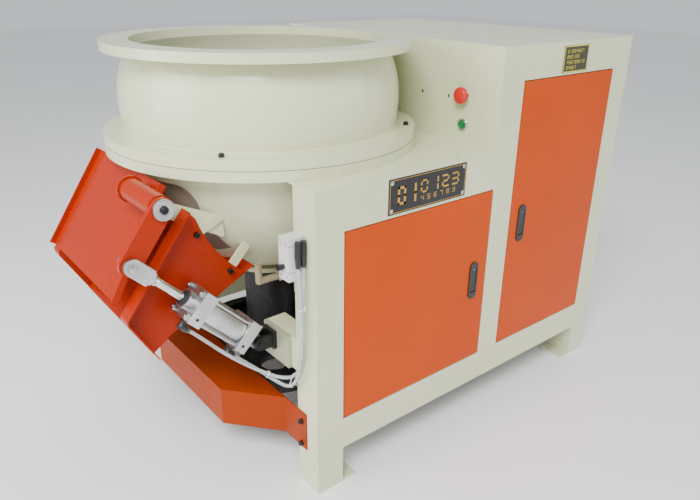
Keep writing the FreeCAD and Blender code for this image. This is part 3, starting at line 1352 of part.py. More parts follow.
def tube_path(points, radius):
    """A round tube along straight runs joined by tangent arcs, each as large as its runs allow."""
    edges = []
    start = points[0]
    for i in range(1, len(points) - 1):
        before, here, after = points[i - 1], points[i], points[i + 1]
        back = (before - here).normalize()
        ahead = (after - here).normalize()
        half_turn = (math.pi - back.getAngle(ahead)) / 2
        shorter = min((before - here).Length, (after - here).Length)
        cut_back = 0.45 * shorter
        bend = cut_back / math.tan(half_turn)
        print("tube bend radius %.1f" % bend)
        first = here + back * cut_back
        last = here + ahead * cut_back
        bisector = (back + ahead).normalize()
        middle = here + bisector * (bend / math.cos(half_turn) - bend)
        edges.append(Part.LineSegment(start, first).toShape())
        edges.append(Part.Arc(first, middle, last).toShape())
        start = last
    edges.append(Part.LineSegment(start, points[-1]).toShape())
    wire = Part.Wire(edges)
    direction = (points[1] - points[0]).normalize()
    profile = Part.Wire([Part.Circle(points[0], direction, radius).toShape()])
    return wire.makePipeShell([profile], True, False), wire.Length


def route(points):
    """Route points measured from the cabinet's left front corner, as vectors."""
    return [FreeCAD.Vector(LEFT.value + x, FRONT.value + y, z) for x, y, z in points]


FRONT_TUBE = [
    (-208, 175, 444), (-178, 174, 412), (-140, 166, 370), (-104, 154, 336), (-66, 138, 306), (-30, 112, 286),
    (-12, 84, 292), (-9, 62, 316), (-9, 46, 356), (-9, 37, 410), (-10, 34, 470), (-9, 33, 530), (-7, 33, 590),
]
REAR_TUBE = [
    (-105, 175, 342), (-86, 172, 322), (-58, 152, 296), (-32, 122, 272), (-22, 86, 270), (-21, 54, 298),
    (-21, 35, 346), (-21, 26, 406), (-22, 25, 466), (-22, 26, 528), (-22, 32, 590),
]


def make_tubes():
    """Two air tubes from the valve's fittings to just short of the cylinder's elbows."""
    tubes = []
    for name, points in (("front_tube", FRONT_TUBE), ("rear_tube", REAR_TUBE)):
        shape, length = tube_path(route(points), tube_radius.value)
        expected = math.pi * tube_radius.value ** 2 * length
        print("%s length %.0f, volume over section times length %.4f" % (name, length, shape.Volume / expected))
        tubes.append(shape_piece(name, shape))
    node("air_tubes", group("air_tubes", tubes))


def make_drain():
    """Short drain pipe out of the bowl's collar, ending in its union."""
    start = AXIS - drain_inset
    end = start + drain_length
    centre = (-drain_offset, drain_height)
    pipe = rod("drain_bar", drain_radius, "X", centre, (start, end))
    drop = rod("drain_drop", drain_radius, "Z", (start, -drain_offset), (drain_height, drain_height + collar_radius))
    drop = cut("drain_stub", drop, ball("drain_relief", bowl_radius))
    bend = DOC.addObject("Part::Sphere", "drain_bend")
    bind(bend, "Radius", drain_radius)
    place(bend, start, -drain_offset, drain_height)
    union = rod("drain_union", union_radius, "X", centre, (end, end + drain_length / 2))
    node("drain_pipe", fuse("drain_pipe", [pipe, drop, bend, union]))


def check_and_write():
    """Stop on any failed object, then write one file for each sub-part."""
    DOC.recompute()
    for item in DOC.Objects:
        bad = [word for word in item.State if word in ("Invalid", "Error")]
        if bad:
            raise RuntimeError("%s is in state %s" % (item.Label, bad))
    os.makedirs("parts", exist_ok=True)
    for name, item in NODES.items():
        shape = item.Shape
        if shape.isNull() or not shape.isValid() or not shape.Solids:
            raise RuntimeError("%s has no valid solid" % name)
    for name, item in NODES.items():
        item.Shape.exportStep("parts/%s.step" % name)
    print("%d sub-parts written" % len(NODES))


make_legs()
make_foot_plates()
make_front_panel()
make_back_panel()
make_side_panels()
make_deck()
make_doors()
make_buttons()
make_plates()
make_bowl()
make_upper_drum()
make_collar()
make_spindle()
make_drive()
make_gate()
make_gate_hinge()
make_chute()
make_cylinder()
make_piston()
make_cylinder_bracket()
make_guard()
make_bolt_heads()
make_valve()
make_tubes()
make_drain()
check_and_write()
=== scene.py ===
import json
import math

import bpy
import bmesh
from mathutils import Matrix, Vector


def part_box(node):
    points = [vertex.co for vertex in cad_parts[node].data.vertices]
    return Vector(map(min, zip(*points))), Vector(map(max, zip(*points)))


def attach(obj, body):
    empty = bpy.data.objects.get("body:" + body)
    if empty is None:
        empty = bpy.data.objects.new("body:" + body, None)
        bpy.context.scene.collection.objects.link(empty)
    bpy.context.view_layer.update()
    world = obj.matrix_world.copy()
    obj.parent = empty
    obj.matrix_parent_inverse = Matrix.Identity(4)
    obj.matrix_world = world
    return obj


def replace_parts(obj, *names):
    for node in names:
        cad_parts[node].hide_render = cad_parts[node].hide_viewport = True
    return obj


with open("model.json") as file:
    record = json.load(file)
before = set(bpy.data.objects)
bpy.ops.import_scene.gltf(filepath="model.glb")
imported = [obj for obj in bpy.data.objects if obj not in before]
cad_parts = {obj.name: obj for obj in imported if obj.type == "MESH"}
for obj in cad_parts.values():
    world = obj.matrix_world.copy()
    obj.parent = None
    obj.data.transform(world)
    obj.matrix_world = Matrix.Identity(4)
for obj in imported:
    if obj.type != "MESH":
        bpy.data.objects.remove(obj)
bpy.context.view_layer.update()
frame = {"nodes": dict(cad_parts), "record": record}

DEG = math.pi / 180


# Materials

class Nodes:
    """Short names for building one shader tree."""

    def __init__(self, name):
        self.mat = bpy.data.materials.new(name)
        self.mat.use_nodes = True
        self.tree = self.mat.node_tree
        self.tree.nodes.clear()
        self.out = self.add("ShaderNodeOutputMaterial")
        self.shader = self.add("ShaderNodeBsdfPrincipled")
        self.link(self.shader.outputs[0], self.out.inputs[0])
        self.place = self.add("ShaderNodeTexCoord").outputs["Object"]

    def add(self, kind, **values):
        item = self.tree.nodes.new(kind)
        for key, value in values.items():
            setattr(item, key, value)
        return item

    def link(self, a, b):
        self.tree.links.new(a, b)

    def set(self, **values):
        for key, value in values.items():
            self.shader.inputs[key.replace("_", " ")].default_value = value

    def noise(self, scale, detail=3.0, rough=0.5, stretch=None):
        tex = self.add("ShaderNodeTexNoise")
        tex.inputs["Scale"].default_value = scale
        tex.inputs["Detail"].default_value = detail
        tex.inputs["Roughness"].default_value = rough
        place = self.place
        if stretch:
            mapping = self.add("ShaderNodeMapping")
            mapping.inputs["Scale"].default_value = stretch
            self.link(place, mapping.inputs["Vector"])
            place = mapping.outputs[0]
        self.link(place, tex.inputs["Vector"])
        return tex.outputs["Fac"]

    def ramp(self, value, stops):
        item = self.add("ShaderNodeValToRGB")
        ramp = item.color_ramp
        while len(ramp.elements) < len(stops):
            ramp.elements.new(0.5)
        for element, (pos, colour) in zip(ramp.elements, stops):
            element.position = pos
            element.color = colour if len(colour) == 4 else (*colour, 1)
        self.link(value, item.inputs[0])
        return item.outputs[0]

    def span(self, value, low, high):
        item = self.add("ShaderNodeMapRange")
        item.inputs["To Min"].default_value = low
        item.inputs["To Max"].default_value = high
        self.link(value, item.inputs["Value"])
        return item.outputs[0]

    def mix(self, amount, a, b):
        item = self.add("ShaderNodeMix", data_type="RGBA")
        for value, socket in ((amount, 0), (a, 6), (b, 7)):
            if isinstance(value, bpy.types.NodeSocket):
                self.link(value, item.inputs[socket])
            else:
                item.inputs[socket].default_value = value if socket == 0 or len(value) == 4 else (
                    *value, 1,
                )
        return item.outputs[2]

    def bump(self, height, strength, distance=0.001, after=None):
        item = self.add("ShaderNodeBump")
        item.inputs["Strength"].default_value = strength
        item.inputs["Distance"].default_value = distance
        self.link(height, item.inputs["Height"])
        if after:
            self.link(after, item.inputs["Normal"])
        return item.outputs[0]

    def bevel(self, radius, after=None):
        item = self.add("ShaderNodeBevel", samples=4)
        item.inputs["Radius"].default_value = radius
        if after:
            self.link(after, item.inputs["Normal"])
        return item.outputs[0]


def painted(
    name, colour, rough=0.28, peel=0.12, dust=0.25, wear=(0.30, 0.30, 0.28), gloss=0.35, shine=0.5,
):
    """Gloss enamel with light orange peel, faint dust, and small specks of worn colour scattered over it.
    """
    n = Nodes(name)
    cloud = n.noise(3.0, 4)
    fine = n.noise(160.0, 2)
    shade = n.ramp(cloud, [(0.3, [c * 0.93 for c in colour]), (0.7, [min(1, c * 1.03) for c in colour])])
    dusty = n.span(n.noise(9.0, 6, 0.7), 0.0, dust * 0.25)
    base = n.mix(dusty, shade, (0.55, 0.53, 0.48))
    specks = n.ramp(n.noise(55.0, 5, 0.75), [(0.76, (0, 0, 0)), (0.80, (1, 1, 1))])
    base = n.mix(n.span(specks, 0.0, 0.2), base, wear)
    n.link(base, n.shader.inputs["Base Color"])
    n.link(n.span(n.noise(24.0, 4, 0.65), rough * 0.75, rough * 1.35), n.shader.inputs["Roughness"])
    n.set(Coat_Weight=gloss, Coat_Roughness=0.12, IOR=1.5, Specular_IOR_Level=shine)
    n.link(n.bump(fine, peel, 0.0006, n.bevel(0.0012)), n.shader.inputs["Normal"])
    return n.mat


def metal(name, colour, rough=0.3, grain=(1, 1, 60), strength=0.12, bevel=0.0006):
    """Machined or drawn metal with grain along one way and a little dirt."""
    n = Nodes(name)
    lines = n.noise(18.0, 5, 0.6, grain)
    dirt = n.noise(14.0, 5, 0.7)
    shade = n.ramp(dirt, [(0.35, [c * 0.72 for c in colour]), (0.6, colour)])
    n.link(shade, n.shader.inputs["Base Color"])
    n.set(Metallic=1.0)
    n.link(n.span(lines, rough * 0.7, rough * 1.4), n.shader.inputs["Roughness"])
    n.link(n.bump(lines, strength, 0.0004, n.bevel(bevel)), n.shader.inputs["Normal"])
    return n.mat


def satin(
    name, colour, rough=0.45, metallic=0.0, grain=90.0, strength=0.15, worn=0.2, edge=(0.3, 0.3, 0.3),
):
    """Black fittings, plastics and castings: fine texture, with paler scuffs."""
    n = Nodes(name)
    scuff = n.ramp(n.noise(30.0, 6, 0.75), [(0.55, (0, 0, 0)), (0.75, (1, 1, 1))])
    shade = n.ramp(
        n.noise(6.0, 3), [(0.3, [c * 0.85 for c in colour]), (0.7, [min(1, c * 1.12) for c in colour])],
    )
    n.link(n.mix(n.span(scuff, 0.0, worn), shade, edge), n.shader.inputs["Base Color"])
    n.set(Metallic=metallic)
    n.link(n.span(n.noise(40.0, 4, 0.6), rough * 0.8, rough * 1.25), n.shader.inputs["Roughness"])
    n.link(n.bump(n.noise(grain, 4, 0.6), strength, 0.0006, n.bevel(0.0006)), n.shader.inputs["Normal"])
    return n.mat


def tube_plastic(name):
    """Translucent polyurethane tube."""
    n = Nodes(name)
    n.link(
        n.ramp(n.noise(20.0, 3), [(0.3, (0.62, 0.68, 0.68)), (0.7, (0.80, 0.85, 0.84))]),
        n.shader.inputs["Base Color"],
    )
    n.set(Transmission_Weight=0.55, IOR=1.4, Subsurface_Weight=0.2)
    n.link(n.span(n.noise(60.0, 3), 0.15, 0.32), n.shader.inputs["Roughness"])
    n.link(n.bump(n.noise(120.0, 2), 0.1, 0.0004), n.shader.inputs["Normal"])
    return n.mat


IVORY = (0.64, 0.67, 0.44)
MATERIALS = {
    "body_paint": painted("body_paint", IVORY, 0.24, 0.18, 0.15, (0.34, 0.34, 0.26), 0.3, 0.4),
    "door_paint": painted(
        "door_paint", (0.52, 0.056, 0.0), 0.30, 0.14, 0.0, (0.40, 0.05, 0.0), 0.0, 0.12,
    ),
    "chute_paint": painted(
        "chute_paint", (0.36, 0.018, 0.0), 0.27, 0.14, 0.0, (0.3, 0.02, 0.0), 0.0, 0.15,
    ),
    # The guard's orange is the door orange darkened: painted shade for the drum's shadow over the guard.
    "guard_paint": painted(
        "guard_paint", (0.30, 0.032, 0.0), 0.42, 0.2, 0.04, (0.25, 0.04, 0.0), 0.0, 0.1,
    ),
    "dark_metal": satin("dark_metal", (0.014, 0.014, 0.016), 0.34, 0.3, 60, 0.12, 0.12),
    "steel": metal("steel", (0.56, 0.56, 0.55), 0.3),
    "chrome_rod": metal("chrome_rod", (0.80, 0.80, 0.80), 0.08, (1, 1, 1), 0.02),
    "cast_body": satin("cast_body", (0.016, 0.017, 0.019), 0.42, 0.35, 120, 0.35, 0.15),
    "cylinder_metal": metal("cylinder_metal", (0.66, 0.67, 0.68), 0.34, (1, 40, 1), 0.08),
    "liner": satin("liner", (0.215, 0.170, 0.125), 0.55, 0.0, 70, 0.3, 0.25, (0.4, 0.36, 0.32)),
    "black_rubber": satin("black_rubber", (0.012, 0.012, 0.012), 0.7, 0.0, 140, 0.3, 0.1),
    "black_plastic": satin("black_plastic", (0.012, 0.012, 0.013), 0.32, 0.0, 150, 0.12, 0.08),
    "red_button": satin("red_button", (0.62, 0.008, 0.008), 0.22, 0.0, 80, 0.05, 0.04, (0.7, 0.2, 0.2)),
    "green_button": satin("green_button", (0.0, 0.17, 0.05), 0.22, 0.0, 80, 0.05, 0.04, (0.2, 0.5, 0.3)),
    "holder": metal("holder", (0.70, 0.71, 0.70), 0.2, (1, 1, 1), 0.03),
    "white_plastic": satin(
        "white_plastic", (0.72, 0.72, 0.70), 0.3, 0.0, 90, 0.06, 0.15, (0.5, 0.5, 0.48),
    ),
    "cream_pipe": satin("cream_pipe", (0.60, 0.52, 0.33), 0.4, 0.0, 60, 0.08, 0.15, (0.4, 0.35, 0.25)),
    "clear_tube": tube_plastic("clear_tube"),
    "motor_paint": painted("motor_paint", (0.04, 0.06, 0.08), 0.4, 0.2, 0.3),
    "black_plate": satin("black_plate", (0.010, 0.010, 0.011), 0.3, 0.1, 200, 0.05, 0.06),
    "olive_plate": satin("olive_plate", (0.030, 0.028, 0.010), 0.4, 0.1, 200, 0.08, 0.1),
    "gold_mark": metal("gold_mark", (0.72, 0.42, 0.10), 0.35, (1, 1, 1), 0.05, 0.0001),
    "yellow_mark": satin("yellow_mark", (0.55, 0.52, 0.03), 0.4, 0.0, 200, 0.05, 0.1),
    "steel_dark": metal("steel_dark", (0.16, 0.16, 0.17), 0.3, (1, 1, 1), 0.05, 0.0003),
    "tie_white": satin("tie_white", (0.78, 0.78, 0.76), 0.35, 0.0, 90, 0.06, 0.1, (0.6, 0.6, 0.58)),
    "gasket": satin("gasket", (0.05, 0.05, 0.045), 0.7, 0.0, 120, 0.2, 0.1),
    "collar_grey": satin("collar_grey", (0.10, 0.10, 0.11), 0.4, 0.0, 90, 0.08, 0.1),
    "olive_metal": satin("olive_metal", (0.42, 0.43, 0.30), 0.36, 0.15, 80, 0.15, 0.25, (0.4, 0.4, 0.34)),
}


def paint(obj, name):
    """Give a piece one material and note its slot."""
    obj.data.materials.clear()
    obj.data.materials.append(MATERIALS[name])
    return obj


SLOTS = {row["node"]: row["material_slot"] for row in frame["record"]["subparts"]}
for node_name, item in frame["nodes"].items():
    item.data.materials.clear()
    item.data.materials.append(MATERIALS[SLOTS[node_name]])


# Camera, light and floor

def make_camera():
    """The camera that was solved together with the cabinet from the photo."""
    yaw, pitch, roll = 50.98 * DEG, 23.10 * DEG, -0.57 * DEG
    ahead = Vector((math.cos(yaw) * math.cos(pitch), math.sin(yaw) * math.cos(pitch), -math.sin(pitch)))
    right = Vector((math.sin(yaw), -math.cos(yaw), 0))
    down = ahead.cross(right)
    c, s = math.cos(roll), math.sin(roll)
    right, down = c * right + s * down, c * down - s * right
    data = bpy.data.cameras.new("camera")
    data.sensor_width = 36
    data.lens = 33.38
    data.clip_end = 60
    cam = bpy.data.objects.new("camera", data)
    bpy.context.scene.collection.objects.link(cam)
    turn = Matrix((right, -down, -ahead)).transposed()
    cam.matrix_world = Matrix.Translation((-1.2487, -1.4186, 1.1514)) @ turn.to_4x4()
    bpy.context.scene.camera = cam


def add_light(name, place, target, size, power, colour=(1, 1, 1)):
    data = bpy.data.lights.new(name, "AREA")
    data.shape = "RECTANGLE"
    data.size, data.size_y = size
    data.energy = power
    data.color = colour
    lamp = bpy.data.objects.new(name, data)
    bpy.context.scene.collection.objects.link(lamp)
    aim = Vector(target) - Vector(place)
    lamp.matrix_world = Matrix.Translation(place) @ aim.to_track_quat("-Z", "Y").to_matrix().to_4x4()


def make_stage():
    """Pale floor, even sky and three soft lights."""
    mesh = bpy.data.meshes.new("floor")
    mesh.from_pydata([(-14, -14, 0), (14, -14, 0), (14, 14, 0), (-14, 14, 0)], [], [(0, 1, 2, 3)])
    floor = bpy.data.objects.new("floor", mesh)
    bpy.context.scene.collection.objects.link(floor)
    n = Nodes("floor")
    n.link(
        n.ramp(n.noise(0.8, 4), [(0.3, (0.88, 0.88, 0.88)), (0.7, (0.93, 0.93, 0.93))]),
        n.shader.inputs["Base Color"],
    )
    n.set(Roughness=0.6)
    mesh.materials.append(n.mat)
    world = bpy.data.worlds.new("world")
    world.use_nodes = True
    back = world.node_tree.nodes["Background"]
    back.inputs[0].default_value = (0.86, 0.89, 0.92, 1)
    back.inputs[1].default_value = 0.80
    bpy.context.scene.world = world
    add_light("key", (-2.6, -2.2, 3.6), (0, 0, 0.5), (2.0, 1.6), 250)
    add_light("fill", (2.6, -3.2, 1.8), (0.2, 0, 0.5), (2.4, 2.4), 34)
    add_light("side", (-3.4, 0.6, 1.4), (-0.4, 0, 0.5), (2.0, 2.4), 75)


make_camera()
make_stage()


# Mesh helpers

def new_piece(name, verts, faces, material, body, smooth=True):
    """Turn points and faces into an object that has its material and rides its body."""
    mesh = bpy.data.meshes.new(name)
    mesh.from_pydata([tuple(v) for v in verts], [], faces)
    work = bmesh.new()
    work.from_mesh(mesh)
    bmesh.ops.remove_doubles(work, verts=work.verts, dist=1e-6)
    bmesh.ops.recalc_face_normals(work, faces=work.faces)
    work.to_mesh(mesh)
    work.free()
    obj = bpy.data.objects.new(name, mesh)
    bpy.context.scene.collection.objects.link(obj)
    if smooth:
        for face in mesh.polygons:
            face.use_smooth = True
        mesh.set_sharp_from_angle(angle=0.6)
    paint(obj, material)
    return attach(obj, body) or obj


def frame_of(axis):
    """Two directions square to an axis."""
    axis = Vector(axis).normalized()
    other = Vector((0, 0, 1)) if abs(axis.z) < 0.9 else Vector((1, 0, 0))
    u = axis.cross(other).normalized()
    return axis, u, axis.cross(u)


class Build:
    """Collects vertices and faces of one piece."""

    def __init__(self):
        self.verts = []
        self.faces = []

    def add(self, verts, faces):
        start = len(self.verts)
        self.verts += [tuple(v) for v in verts]
        self.faces += [tuple(start + i for i in face) for face in faces]

    def loft(self, rings, close=True):
        """Join rings of equal length; close the first and last."""
        n = len(rings[0])
        verts = [v for ring in rings for v in ring]
        faces = []
        for k in range(len(rings) - 1):
            for i in range(n):
                j = (i + 1) % n
                faces.append((k * n + i, k * n + j, (k + 1) * n + j, (k + 1) * n + i))
        if close:
            faces.append(tuple(range(n)))
            faces.append(tuple((len(rings) - 1) * n + i for i in range(n)))
        self.add(verts, faces)

    def lathe(self, centre, axis, profile, segments=32, lobes=0, depth=0.0):
        """Turn (along, radius) points about an axis; lobes cut grips round it."""
        a, u, v = frame_of(axis)
        centre = Vector(centre)
        rings = []
        for along, radius in profile:
            ring = []
            for i in range(segments):
                t = 2 * math.pi * i / segments
                r = radius - (depth if lobes and i % 2 and radius > 1e-4 else 0.0)
                ring.append(centre + a * along + (u * math.cos(t) + v * math.sin(t)) * max(r, 1e-5))
            rings.append(ring)
        self.loft(rings)

    def prism(self, centre, axis, sides, spans, turn=0.0):
        """A polygon bar: (along, corner radius) steps."""
        a, u, v = frame_of(axis)
        centre = Vector(centre)
        rings = []
        for along, radius in spans:
            ring = []
            for i in range(sides):
                t = 2 * math.pi * i / sides + turn
                ring.append(centre + a * along + (u * math.cos(t) + v * math.sin(t)) * radius)
            rings.append(ring)
        self.loft(rings)

    def block(self, low, high, chamfer=0.0):
        """A box with chamfered edges all round."""
        low, high = Vector(low), Vector(high)
        c = min(chamfer, min(high - low) * 0.45)
        rings = []
        for z, inset in ((low.z, c), (low.z + c, 0), (high.z - c, 0), (high.z, c)):
            ring = []
            for sx, sy in ((0, 0), (1, 0), (1, 1), (0, 1)):
                x0 = (low.x, high.x)[sx] + (inset if sx == 0 else -inset)
                y0 = (low.y, high.y)[sy] + (inset if sy == 0 else -inset)
                dx = c if sx == 0 else -c
                dy = c if sy == 0 else -c
                pair = [(x0 + dx, y0), (x0, y0 + dy)]
                if (sx, sy) in ((0, 0), (1, 1)):
                    pair = [(x0, y0 + dy), (x0 + dx, y0)]
                ring += [(px, py, z) for px, py in pair]
            rings.append(ring)
        self.loft(rings)

    def tube(self, points, radius, sides=12, closed=False):
        """A round bar along points."""
        pts = [Vector(p) for p in points]
        count = len(pts)
        rings = []
        side = None
        for i, p in enumerate(pts):
            before = pts[i - 1] if closed or i else p
            after = pts[(i + 1) % count] if closed or i < count - 1 else p
            ahead = (after - before).normalized()
            if side is None:
                side = frame_of(ahead)[1]
            side = (side - ahead * side.dot(ahead)).normalized()
            other = ahead.cross(side)
            turns = [2 * math.pi * k / sides for k in range(sides)]
            rings.append([p + (side * math.cos(t) + other * math.sin(t)) * radius for t in turns])
        if closed:
            rings.append(rings[0])
        self.loft(rings, close=not closed)

    def finish(self, name, material, body, smooth=True):
        return new_piece(name, self.verts, self.faces, material, body, smooth)


def islands(node):
    """Corners of the box round each loose part of a CAD node."""
    mesh = frame["nodes"][node].data
    places = {}
    for i, v in enumerate(mesh.vertices):
        places.setdefault(tuple(round(c, 5) for c in v.co), []).append(i)
    root = list(range(len(mesh.vertices)))

    def top(i):
        while root[i] != i:
            root[i] = root[root[i]]
            i = root[i]
        return i

    for same in places.values():
        for i in same[1:]:
            root[top(i)] = top(same[0])
    for edge in mesh.edges:
        root[top(edge.vertices[0])] = top(edge.vertices[1])
    found = {}
    for i, v in enumerate(mesh.vertices):
        found.setdefault(top(i), []).append(v.co)
    boxes = []
    for points in found.values():
        low = Vector([min(p[k] for p in points) for k in range(3)])
        high = Vector([max(p[k] for p in points) for k in range(3)])
        boxes.append((low, high))
    return sorted(boxes, key=lambda b: tuple(round(c, 4) for c in b[0]))


# Sizes shared with the CAD model, in metres

LEFT, FRONT, AXIS, STEP = -0.5455, -0.4405, -0.3885, -0.0015
SEAM = 0.782
HINGE = Vector((AXIS - 0.397, 0, 0.728))
PIN = Vector((AXIS - 0.473, -0.265, 0.628))
PIVOT = Vector((AXIS - 0.204, -0.265, 0.359))
ROD = (PIN - PIVOT).normalized()


def socket_screw(build, base, axis, radius, height):
    """Socket-head screw: knurled side, chamfered rim and a hexagon recess."""
    n = 36
    a, u, v = frame_of(axis)
    base = Vector(base)
    rings = []
    hexagon = radius * 0.5
    for along, size, kind in (
        (0, 1.0, 0), (height * 0.8, 1.0, 0), (height, 0.86, 1), (height, 0.0, 2), (height * 0.5, 0.0, 2),
    ):
        ring = []
        for i in range(n):
            t = 2 * math.pi * i / n
            r = radius * size
            if kind == 0:
                r -= radius * 0.04 * (i % 2)
            if kind == 2:
                r = hexagon / math.cos((t % (math.pi / 3)) - math.pi / 6)
            ring.append(base + a * along + (u * math.cos(t) + v * math.sin(t)) * r)
        rings.append(ring)
    build.loft(rings)


def make_bolts():
    """Detailed screws in place of the plain heads."""
    build = Build()
    for low, high in islands("bolt_heads"):
        size = high - low
        centre = (low + high) / 2
        k = min(range(3), key=lambda i: size[i])
        axis = Vector((0, 0, 0))
        axis[k] = 1 if k == 2 else -1
        if k == 1 and centre.y > 0:
            axis.y = 1
        base = centre - axis * size[k] / 2
        radius = max(size) / 2
        socket_screw(build, base, axis, radius, size[k])
    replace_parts(build.finish("bolt_screws", "dark_metal", "machine"), "bolt_heads")


def make_plate_screws():
    """Chrome pan-head screws at the plate's corners; each cross recess is a thin dark cross laid on the
    head, painted shade for the hollow.
    """
    heads, shade_crosses = Build(), Build()
    for low, high in islands("front_plate_screws"):
        centre = (low + high) / 2
        front = low.y
        r = (high.x - low.x) / 2
        base = (centre.x, high.y, centre.z)
        depth = high.y - front
        heads.lathe(
            base, (0, -1, 0),
            [(0, r), (depth * 0.45, r * 0.97), (depth * 0.8, r * 0.75), (depth, r * 0.4), (depth, 0)],
            28,
        )
        # A dark cross on top of each head: painted shade where the cross recess would be.
        y = (front - 0.0001, front + 0.0006)
        shade_crosses.block(
            (centre.x - r * 0.6, y[0], centre.z - r * 0.1),
            (centre.x + r * 0.6, y[1], centre.z + r * 0.1), 0.0001,
        )
        shade_crosses.block(
            (centre.x - r * 0.1, y[0], centre.z - r * 0.6),
            (centre.x + r * 0.1, y[1], centre.z + r * 0.6), 0.0001,
        )
    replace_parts(heads.finish("plate_screw_heads", "chrome_rod", "machine"), "front_plate_screws")
    shade_crosses.finish("plate_screw_painted_recess_shade", "dark_metal", "machine", False)


SEGMENTS = {
    "0": "abcdef", "1": "bc", "2": "abged", "3": "abgcd", "4": "fgbc",
    "5": "afgcd", "6": "afgedc", "7": "abc", "8": "abcdefg", "9": "abcdfg",
}
STROKES = {
    "a": ((0, 2), (1, 2)), "b": ((1, 2), (1, 1)), "c": ((1, 1), (1, 0)), "d": ((0, 0), (1, 0)),
    "e": ((0, 0), (0, 1)), "f": ((0, 1), (0, 2)), "g": ((0, 1), (1, 1)),
}


def number_row(build, text, x, z, y, width, height, gap, line):
    """Plain numbers made of raised strokes on a plate that faces -Y."""
    for k, digit in enumerate(text):
        left = x + k * (width + gap)
        for stroke in SEGMENTS[digit]:
            (x0, z0), (x1, z1) = STROKES[stroke]
            a = (left + x0 * width, z + z0 * height / 2)
            b = (left + x1 * width, z + z1 * height / 2)
            low = (min(a[0], b[0]) - line / 2, y - 0.0003, min(a[1], b[1]) - line / 2)
            high = (max(a[0], b[0]) + line / 2, y + 0.0002, max(a[1], b[1]) + line / 2)
            build.block(low, high, 0.0001)


def border(build, low, high, y, inset, line):
    """A thin raised frame inside a plate's edge."""
    x0, x1, z0, z1 = low[0] + inset, high[0] - inset, low[2] + inset, high[2] - inset
    for a, b in (
        ((x0, z0), (x1, z0 + line)), ((x0, z1 - line), (x1, z1)), ((x0, z0), (x0 + line, z1)),
        ((x1 - line, z0), (x1, z1)),
    ):
        build.block((a[0], y - 0.0003, a[1]), (b[0], y + 0.0002, b[1]), 0.0001)


def make_plates():
    """Gold numbers on the large plate, yellow numbers on the small one, each with a border."""
    low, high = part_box("front_plate")
    gold = Build()
    border(gold, low, high, low[1], 0.003, 0.0012)
    width = high[0] - low[0]
    number_row(gold, "0123", low[0] + width * 0.40, low[2] + 0.036, low[1], 0.018, 0.026, 0.016, 0.0042)
    number_row(
        gold, "456789", low[0] + width * 0.40, low[2] + 0.017, low[1], 0.008, 0.010, 0.0125, 0.0016,
    )
    number_row(gold, "01", low[0] + width * 0.12, low[2] + 0.022, low[1], 0.018, 0.036, 0.014, 0.006)
    gold.finish("plate_gold_marks", "gold_mark", "machine", False)
    low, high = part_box("side_plate")
    yellow = Build()
    border(yellow, low, high, low[1], 0.0, 0.003)
    for k, text in enumerate(("01234567", "890123", "456789012", "34567")):
        number_row(
            yellow, text, low[0] + 0.014, high[2] - 0.0175 - k * 0.0135, low[1], 0.005, 0.007, 0.0040,
            0.0012,
        )
    yellow.finish("rating_yellow_marks", "yellow_mark", "machine", False)


def make_buttons():
    """Mushroom stop button, flush start button, and a bright ring under each."""
    low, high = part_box("stop_button")
    y, z = (low[1] + high[1]) / 2, (low[2] + high[2]) / 2
    r = (high[1] - low[1]) / 2
    face = low[0]
    build = Build()
    build.lathe((high[0], y, z), (-1, 0, 0), [
        (0, 0.007), (high[0] - face - 0.0145, 0.007), (high[0] - face - 0.0145, r * 0.82),
        (high[0] - face - 0.012, r * 0.97), (high[0] - face - 0.008, r), (high[0] - face - 0.004, r * 0.93),
        (high[0] - face - 0.0015, r * 0.78), (high[0] - face - 0.0003, r * 0.5), (high[0] - face, r * 0.2),
        (high[0] - face, 0),
    ], 48)
    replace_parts(build.finish("stop_mushroom", "red_button", "stop_button"), "stop_button")
    low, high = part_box("start_button")
    y, z = (low[1] + high[1]) / 2, (low[2] + high[2]) / 2
    r = (high[1] - low[1]) / 2
    face = low[0]
    reach = high[0] - face
    build = Build()
    build.lathe((high[0], y, z), (-1, 0, 0), [
        (0, 0.007), (reach - 0.005, 0.007), (reach - 0.005, r), (reach - 0.0008, r), (reach, r * 0.93),
        (reach - 0.0006, r * 0.8), (reach - 0.0008, 0),
    ], 40)
    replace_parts(build.finish("start_cap", "green_button", "start_button"), "start_button")
    ring = Build()
    for node in ("stop_button", "start_button"):
        low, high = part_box(node)
        y, z = (low[1] + high[1]) / 2, (low[2] + high[2]) / 2
        ring.lathe(
            (STEP, y, z), (-1, 0, 0),
            [(0, 0.0152), (0.0028, 0.0152), (0.0042, 0.0138), (0.0042, 0.0125), (0.0036, 0.0122)], 40,
            1, 0.0003,
        )
    ring.finish("button_rings", "holder", "machine")


def lock_details():
    """Barrel with its slot and grip lines of the two flush locks."""
    for side in ("left", "right"):
        low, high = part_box(side + "_lock")
        x = (low[0] + high[0]) / 2
        build = Build()
        top = high[2] - 0.019
        build.lathe(
            (x, low[1] + 0.0045, top), (0, -1, 0),
            [(0, 0.0055), (0.0035, 0.0055), (0.0042, 0.005), (0.0042, 0.002), (0.003, 0.0015)], 28,
        )
        build.block(
            (x - 0.0006, low[1] + 0.0002, top - 0.003), (x + 0.0006, low[1] + 0.0012, top + 0.003),
            0.0002,
        )
        build.finish(side + "_lock_barrel", "steel_dark", side + "_door")
        low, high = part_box(side + "_handle")
        grip = Build()
        for k in range(5):
            z = low[2] + 0.010 + k * 0.004
            grip.block(
                (x - 0.0062, low[1] - 0.0004, z - 0.0007), (x + 0.0062, low[1] + 0.0004, z + 0.0007),
                0.0003,
            )
        grip.finish(side + "_handle_ribs", "black_plastic", side + "_handle", False)


PORTS = (0.057, 0.201)
CAP_SCREWS = (-0.028, 0.028)
SIDE = Vector((0, 1, 0))
DOWN = Vector((-ROD.z, 0, ROD.x))


def on_rod(x, y=0.0, z=0.0):
    """A point measured along the cylinder from its rear pivot."""
    return PIVOT + ROD * x + SIDE * y + DOWN * z


